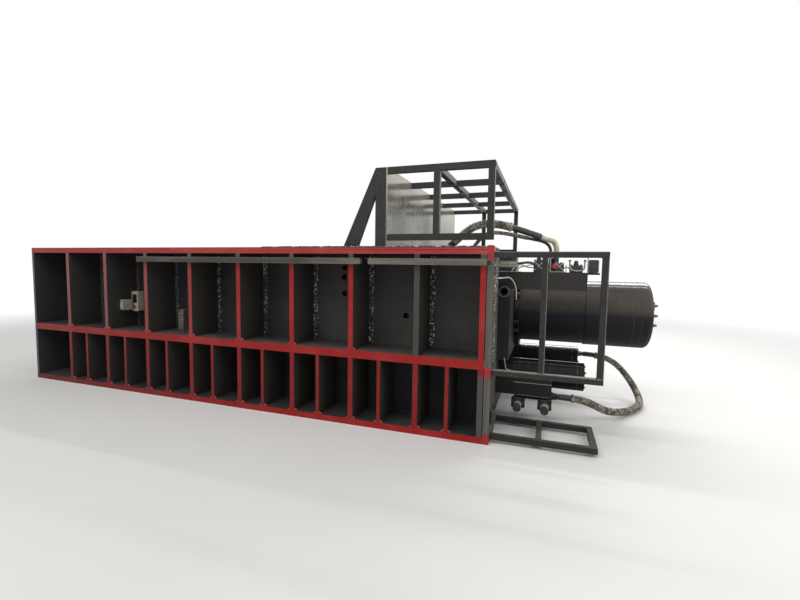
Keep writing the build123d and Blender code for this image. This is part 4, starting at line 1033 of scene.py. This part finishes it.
# Cylinders: bolt tips, raised seams, plugs and bolts of the caps
def round_about(x, y, z, radius, count, start):
    """Places on a circle across X, the first one at a start angle."""
    angles = [math.tau * number / count + start for number in range(count)]
    return [(x, y + math.cos(angle) * radius, z + math.sin(angle) * radius) for angle in angles]


def ring_outline(width, inner, outer):
    """Outline of a raised ring."""
    return [(0, inner), (0.0015, outer), (width - 0.0015, outer), (width, inner)]


TO_CROWN = (1, 0, 0)
TO_FRONT = (0, -1, 0)
UP = (0, 0, 1)
BARREL_RADIUS = 0.367
CLAMP_Y = 0.520
CLAMP_Z = middle("clamp_cylinders").z
clamp_end = high("clamp_cylinders").x
tip_places = round_about(
    high("main_flange_bolts").x - 0.012, 0, MAIN_Z, radius=0.400, count=24, start=math.tau / 48
)
bolts("main_flange_tips", tip_places, TURN_X, 0.014, 0.009, 0.019)
turned(
    "barrel_seams", [(CAP_FACE - 0.120, 0, MAIN_Z), (CAP_FACE - 0.192, 0, MAIN_Z)], TO_CROWN,
    ring_outline(0.006, BARREL_RADIUS - 0.003, BARREL_RADIUS + 0.0018), "seam", "cylinder_paint", 96,
)
turned(
    "cap_plugs", [
        (CAP_FACE, y, MAIN_Z + rise) for y, rise in ((-0.235, 0.125), (-0.255, 0.020), (-0.225, -0.085))
    ], TO_CROWN,
    [(-0.004, 0.024), (0.010, 0.024), (0.012, 0.017), (0.030, 0.017), (0.032, 0.013), (0.046, 0.012)],
    "dark_steel", "cylinder_paint", 20,
)
cap_bolts = []
for side, name in ((-1, "near"), (1, "far")):
    turned(
        f"clamp_ring_{name}", [(clamp_end - 0.075, side * CLAMP_Y, CLAMP_Z)], TO_CROWN,
        ring_outline(0.008, 0.145, 0.1498), "seam", "cylinder_paint", 64,
    )
    cap_bolts += round_about(clamp_end + 0.0005, side * CLAMP_Y, CLAMP_Z, 0.118, 8, start=0.2)
bolts("clamp_cap_bolts", cap_bolts, TURN_X, 0.011, 0.009, 0.014)

# Cable trunking: lips of the lid, its screws and straps at the ribs
TRUNKING_RUNS = ((along(1959), along(4846)), (along(4929), along(6040)))
SCREW_PITCH = 0.24
lips = []
screws = []
for start, end in TRUNKING_RUNS:
    for z in (TRUNKING_HIGH.z - 0.0005, TRUNKING_LOW.z - 0.0035):
        lip_end = (end - 0.002, TRUNKING_LOW.y + 0.0075, z + 0.004)
        lips.append(((start + 0.002, TRUNKING_LOW.y + 0.0005, z), lip_end))
    for number in range(int((end - start) / SCREW_PITCH) + 1):
        x = start + 0.06 + number * SCREW_PITCH
        screws.append((x, TRUNKING_LOW.y + 0.025, TRUNKING_HIGH.z))
blocks("trunking_lips", lips, "light_edge", rounding=0.001)
bolts("trunking_screws", screws, TURN_UP, 0.006, 0.003, 0.008, "dark_steel", "grey_paint")
blocks("trunking_straps", [
    ((x - 0.020, TRUNKING_LOW.y + 0.001, TRUNKING_LOW.z - 0.004),
     (x + 0.020, -HALF_WIDTH, TRUNKING_LOW.z + 0.001))
    for x in RIB_PLACES[2:] if any(start < x < end for start, end in TRUNKING_RUNS)
], "tube", rounding=0.001)
turned(
    "cable_gland", [near(along(6056), 0.002, 1.628)], TO_FRONT,
    [(-0.004, 0.021), (0.004, 0.021), (0.006, 0.018), (0.012, 0.018), (0.0125, 0.011), (0.008, 0.010)],
    "maroon", "red_paint", 28,
)


def front_panel(node, margin, out, sunk, start, end):
    """Corners of a panel on the front of a node's box, between two levels."""
    left, right = low(node), high(node)
    return (left.x + margin, left.y - out, start), (right.x - margin, left.y + sunk, end)


# Wiring from the trunking: lips of the tray and a ribbed conduit to the first valve
tray_low, tray_high = low("wiring_tray"), high("wiring_tray")
blocks("tray_lips", [
    front_panel("wiring_tray", 0.002, 0.002, 0.004, z, z + 0.006)
    for z in (tray_low.z + 0.004, middle("wiring_tray").z - 0.003, tray_high.z - 0.007)
], "light_edge", rounding=0.001)
guard_recipe.run("valve_conduit", [[
    (tray_high.x - 0.02, -1.16, 1.625), (along(6300), -1.150, 1.632), (along(6345), -1.10, 1.640),
    (along(6380), -1.02, 1.640), (along(6410), -0.93, 1.622), (along(6430), -0.845, 1.600),
]], "valve", "black_bolts", winding=0.0085, strip=0.0048, pitch=0.0085, step=0.0010)


# Valve row on the shelf: jumper, pipes, brackets, bolts and caps
def shelf(distance, y, rise):
    """A place above the shelf by its distance from the base."""
    return along(distance), y, SHELF + rise


pipes("valve_jumper", [[shelf(u, VALVE_FRONT - out, rise) for u, out, rise in (
    (6739, 0.012, 0.125), (6739, 0.015, 0.070), (6745, 0.015, 0.026), (6807, 0.015, 0.010),
    (6869, 0.015, 0.026), (6875, 0.015, 0.070), (6875, 0.012, 0.125),
)]], 0.0085)
turned(
    "jumper_nuts", [shelf(u, VALVE_FRONT - 0.012, 0.106) for u in (6739, 6875)], UP,
    [(0, 0.009), (0.001, 0.012), (0.016, 0.012), (0.017, 0.009)], "dark_steel", "black_bolts", 6,
)
pipes("pilot_pipes", [[shelf(*place) for place in run] for run in (
    ((6200, -1.02, 0.004), (6225, -1.00, 0.050), (6290, -0.95, 0.075), (6350, -0.90, 0.040),
     (6395, -0.86, 0.045)),
    ((6240, -0.99, 0.004), (6262, -0.97, 0.045), (6330, -0.92, 0.055), (6395, -0.86, 0.080)),
    ((6500, -0.84, 0.030), (6518, -0.90, 0.050), (6537, -0.84, 0.030)),
    ((6687, -0.84, 0.040), (6712, -0.90, 0.065), (6740, -0.84, 0.035)),
)], 0.0065)
pipes("valve_crosses", [
    [shelf(start, VALVE_FRONT - 0.006, 0.014), shelf(end, VALVE_FRONT - 0.006, rise)]
    for left, right, rise in ((6404, 6496, 0.108), (6604, 6684, 0.098))
    for start, end in ((left, right), (right, left))
], 0.006, order=2)
blocks("valve_stand", [
    (shelf(left, SHELF_EDGE - 0.002, foot), shelf(right, SHELF_EDGE + depth, top))
    for left, right, depth, foot, top in (
        (6556, 6564, 0.022, 0.002, 0.140), (6556, 6708, 0.022, 0.001, 0.008),
        (6700, 6708, 0.022, 0.002, 0.075), (6893, 6900, 0.030, 0.002, 0.150),
    )
], "pale_paint", rounding=0.0012)
bolts("valve_bolts", [shelf(u, VALVE_FRONT, rise) for u, rise in (
    (6412, 0.10), (6488, 0.10), (6412, 0.02), (6488, 0.02), (6549, 0.078), (6675, 0.078),
    (6549, 0.015), (6675, 0.015), (6752, 0.058), (6848, 0.058), (6752, 0.014), (6848, 0.014),
)], TURN_FRONT, 0.0065, 0.006, 0.009, "dark_steel")
bolts("valve_top_bolts", [shelf(u, y, rise) for y in (-0.835, -0.765) for u, rise in (
    (6415, 0.115), (6485, 0.115), (6660, 0.090), (6755, 0.070), (6845, 0.070),
)], TURN_UP, 0.008, 0.007, 0.011, "dark_steel")
turned(
    "solenoid_caps", [shelf(6450, -0.800, 0.115), shelf(6800, -0.800, 0.070)], UP,
    [(-0.002, 0.024), (0.018, 0.024), (0.021, 0.020), (0.040, 0.020), (0.043, 0.014), (0.048, 0.013)],
    "valve", "black_bolts", 28,
)
box_low, box_high = low("terminal_box"), high("terminal_box")
blocks("terminal_box_lid", [(
    (box_high.x - 0.001, box_low.y + 0.006, box_low.z + 0.006),
    (box_high.x + 0.007, box_high.y - 0.006, box_high.z - 0.006),
)], "box_grey")
turned(
    "terminal_box_glands",
    [(box_low.x + away, box_low.y + 0.002, box_low.z + 0.045) for away in (0.026, 0.062)], TO_FRONT,
    [(-0.003, 0.013), (0.008, 0.013), (0.009, 0.010), (0.018, 0.009)], "valve", "black_bolts", 20,
)

# Lifting boss of the mounting plate: rim and plug of its bore
BOSS_X = middle("cylinder_mount_plate").x
BOSS_Z = 1.347
mount_edge = low("cylinder_mount_plate").y
# The rim's pale enamel is a painted highlight on the lit rim of the bore.
turned(
    "boss_rim", [(BOSS_X, mount_edge - 0.0005, BOSS_Z)], TO_FRONT,
    [(-0.004, 0.057), (0.0005, 0.057), (0.002, 0.055), (0.002, 0.047), (-0.004, 0.046)],
    "light_edge", "grey_paint", 48,
)
turned(
    "boss_plug", [(BOSS_X, mount_edge + 0.022, BOSS_Z)], TO_FRONT,
    [(-0.010, 0.0398), (0.002, 0.0398), (0.004, 0.034), (0.004, 0.016), (0.014, 0.015),
     (0.015, 0.009), (0.006, 0.008)],
    "valve", "black_bolts", 40,
)

# Manifold at the floor: edges, flange bolts, pipe ends and the thin drain pipe
MANIFOLD_FRONT = low("clamp_manifold").y
MANIFOLD_ENDS = along(6250) + 0.002, high("clamp_manifold").x - 0.002
STUB_PLACES = along(6302), along(6558)
STUB_Z = middle("manifold_pipe_stubs").z
blocks("manifold_edges", [
    ((MANIFOLD_ENDS[0], MANIFOLD_FRONT - 0.0015, foot), (MANIFOLD_ENDS[1], MANIFOLD_FRONT + sunk, top))
    for foot, top, sunk in ((0.4290, 0.4340, 0.0055), (0.301, 0.304, 0.0035))
], "pale_paint", rounding=0.0008)
bolts("stub_flange_bolts", [
    (x + side * 0.050, MANIFOLD_FRONT + 0.0048, STUB_Z + rise)
    for x in STUB_PLACES for side in (-1, 1) for rise in (-0.034, 0.034)
], TURN_FRONT, 0.012, 0.011, 0.017)
turned(
    "stub_rings", [(x, MANIFOLD_FRONT - 0.060, STUB_Z) for x in STUB_PLACES], TO_FRONT,
    [(0, 0.0325), (0.002, 0.0375), (0.050, 0.0375), (0.054, 0.0325)],
    "pale_paint", "grey_paint", 36,
)
turned(
    "stub_ends", [(x, MANIFOLD_FRONT - 0.150, STUB_Z) for x in STUB_PLACES], TO_FRONT,
    [(0, 0.0325), (0.003, 0.0395), (0.032, 0.0395), (0.0345, 0.036), (0.0345, 0.029), (0.020, 0.028)],
    "valve", "black_bolts", 36,
)
pipes("drain_pipe", [[(along(u), MANIFOLD_FRONT + behind, z) for u, behind, z in (
    (6150, 0.014, 0.664), (6155, 0.004, 0.645), (6163, 0, 0.600),
    (6170, 0, 0.560), (6200, 0, 0.545), (6224, 0, 0.545),
)]], 0.0055)

# Ties at the ends of the spiral guards
for name, places, number, radius in (
    ("pressure_guard_tie", pressure_places, len(pressure_guard) - 1, 0.0445),
    ("clamp_guard_tie_near", clamp_places, len(clamp_places) - 8, 0.0435),
    ("clamp_guard_tie_far", clamp_places, 6, 0.0435),
):
    here, following = Vector(places[number]), Vector(places[number + 1])
    tie = [(-0.012, radius - 0.008), (-0.010, radius), (0.010, radius), (0.012, radius - 0.008)]
    turned(name, [here], following - here, tie, "sleeve", "hose_rubber", 28)

# Boxes in the upper bays
box_low, box_high = low("limit_switch_box"), high("limit_switch_box")
blocks("switch_box_lid", [
    front_panel("limit_switch_box", 0.004, 0.004, 0.003, box_low.z + 0.004, box_high.z - 0.004)
], "box_grey", 0.003)
bolts("switch_box_screws", [
    (x, box_low.y - 0.004, z)
    for x in (box_low.x + 0.016, box_high.x - 0.016) for z in (box_low.z + 0.016, box_high.z - 0.016)
], TURN_FRONT, 0.004, 0.0025, 0.006, "dark_steel")
turned(
    "switch_box_glands", [(box_low.x + 0.03, middle("limit_switch_box").y, box_low.z + 0.001)],
    (0, 0, -1), [(-0.002, 0.014), (0.008, 0.014), (0.009, 0.011), (0.020, 0.010)],
    "valve", "black_bolts", 24,
)
CONTROL = "valve_control_box"
foot, top = low(CONTROL).z, high(CONTROL).z
window = front_panel(CONTROL, 0.018, 0.003, 0.004, top - 0.150, top - 0.040)
blocks("control_box_window", [window], "glass")
key = front_panel(CONTROL, 0.030, 0.010, 0.002, foot + 0.040, foot + 0.070)
blocks("control_box_key", [key], "red_cap", 0.004)
blocks("control_box_frame", [
    front_panel(CONTROL, 0.010, 0.006, 0.001, top - below, top - below + 0.007)
    for below in (0.158, 0.039)
], "box_grey", 0.001)
OUTLET_PITCH = 0.034
grease_low, grease_high = low("grease_distributor"), high("grease_distributor")
grease_x = middle("grease_distributor").x
outlet_count = int((grease_high.z - grease_low.z - 0.02) / OUTLET_PITCH)
turned(
    "grease_outlets", [
        (grease_x, grease_low.y + 0.001, grease_low.z + 0.025 + OUTLET_PITCH * number)
        for number in range(outlet_count)
    ], TO_FRONT, [(-0.002, 0.009), (0.008, 0.009), (0.009, 0.006), (0.016, 0.005)],
    "pale_paint", "grey_paint", 12,
)

# Welds of the guard and the platform, and the bracket of the floor guard on the head plate
seams("guard_corner_welds", "dark_weld", "grey_paint", 0.0045, 0.006, 0.5, 0.001, 60.0, 6.0, [
    [(x, GUARD_LOW.y + 0.004, z), (x, GUARD_HIGH.y - 0.004, z)]
    for x in (along(6490), along(6540), along(6950)) for z in (GUARD_RAIL, GUARD_HIGH.z - 0.050)
])
BRACKET_FACE = HEAD_FACE + 0.012
bracket_corner = near(HEAD_FACE, 0.040, 0.186)
blocks("bracket_plate_floor_guard", [
    (bracket_corner, near(BRACKET_FACE, 0.270, 0.300)),
    (bracket_corner, near(HEAD_FACE + 0.050, 0.052, 0.300)),
], "valve")
bracket_bolts = [near(BRACKET_FACE, behind, z) for behind in (0.080, 0.230) for z in (0.215, 0.272)]
bolts("bracket_bolts", bracket_bolts, TURN_X, 0.010, 0.008, 0.014)
seams("platform_foot_welds", "dark_weld", "grey_paint", 0.006, 0.006, 0.6, 0.002, 60.0, 6.0, [
    [(low(node).x + 0.004, side * y, TOP + 0.004) for y in (1.500, 1.440)]
    for node in ("platform_braces", "platform_frame", "platform_floor") for side in (-1, 1)
])


# Camera, floor and light
SOFT_LEVEL = 0.40
SEEN_LEVEL = 1.0
FLOOR_REACH = 120.0
FLOOR_FADE = 6.5, 15.0


def shop_camera():
    """Camera at the photograph's place, turned by its yaw, pitch and roll in degrees."""
    yaw, pitch, roll = 19.23, 4.26, 0.89
    data = bpy.data.cameras.new("camera")
    data.sensor_width = 36.0
    data.lens = 18.82
    data.clip_end = 400
    matrix = Matrix.Translation((BASE_X + 6.5284, -5.2918, 1.56))
    for degrees, axis in ((yaw, "Z"), (90 - pitch, "X"), (roll, "Z")):
        matrix = matrix @ Matrix.Rotation(math.radians(degrees), 4, axis)
    camera = link("camera", data)
    camera.matrix_world = matrix
    bpy.context.scene.camera = camera


def lamp(name, place, aim, power, length, depth):
    """A soft rectangular lamp, its length along the machine."""
    data = bpy.data.lights.new(name, "AREA")
    data.shape = "RECTANGLE"
    data.size = length
    data.size_y = depth
    data.energy = power
    turn = (Vector(aim) - Vector(place)).to_track_quat("-Z", "Y").to_matrix().to_4x4()
    link(name, data).matrix_world = Matrix.Translation(place) @ turn


def seen_directly(tree):
    """1 for rays that show the surroundings: from the camera, in gloss and through glass."""
    rays = tree.nodes.new("ShaderNodeLightPath")
    total = rays.outputs["Is Camera Ray"]
    for name in ("Is Glossy Ray", "Is Transmission Ray"):
        pair = {0: total, 1: rays.outputs[name]}
        total = add_node(tree, "ShaderNodeMath", {"operation": "MAXIMUM"}, pair).outputs[0]
    return total


def studio():
    """Pale floor that fades into white surroundings, and large soft lamps."""
    scene = bpy.context.scene
    scene.view_settings.view_transform = "Standard"
    world = bpy.data.worlds.new("surroundings")
    scene.world = world
    world.use_nodes = True
    tree = world.node_tree
    background = tree.nodes["Background"]
    background.inputs["Color"].default_value = (1, 1, 1, 1)
    levels = {"To Min": SOFT_LEVEL, "To Max": SEEN_LEVEL, "Value": seen_directly(tree)}
    level = add_node(tree, "ShaderNodeMapRange", None, levels)
    tree.links.new(level.outputs[0], background.inputs["Strength"])

    floor_mesh = bpy.data.meshes.new("floor")
    signs = ((-1, -1), (1, -1), (1, 1), (-1, 1))
    corners = [(x * FLOOR_REACH, y * FLOOR_REACH, 0) for x, y in signs]
    floor_mesh.from_pydata(corners, [], [(0, 1, 2, 3)])
    floor = link("floor", floor_mesh)
    surface = Finish("pale_floor", 0.8, Emission_Strength=1.0, Specular_IOR_Level=0.2)
    soft = surface.mix(surface.noise(0.8, 4, 0.6), FLOOR_DULL, FLOOR_PALE)
    away = (surface.x * surface.x + surface.y * surface.y) ** 0.5
    share = surface.fade(away, *FLOOR_FADE) * Reading(surface, seen_directly(surface.tree))
    surface.feed("Base Color", surface.mix(share, soft, BLACK))
    surface.feed("Emission Color", surface.mix(share, BLACK, WHITE))
    floor_mesh.materials.append(surface.material)
    lamp("hall_light", (-1, -7, 9), (0, 0, 0.8), 620, 9, 6)
    lamp("window_light", (2, 8, 8), (1, 0, 1), 560, 12, 4)
    lamp("crown_light", (9, -3, 5), (3.5, 0, 1), 200, 5, 4)
    lamp("low_strip", (3.0, 7.0, 7.4), (3.0, 0, 1.1), 260, 9, 0.22)
    lamp("high_strip", (3.0, 3.2, 8.2), (3.0, 0, 1.1), 150, 9, 0.16)


shop_camera()
studio()
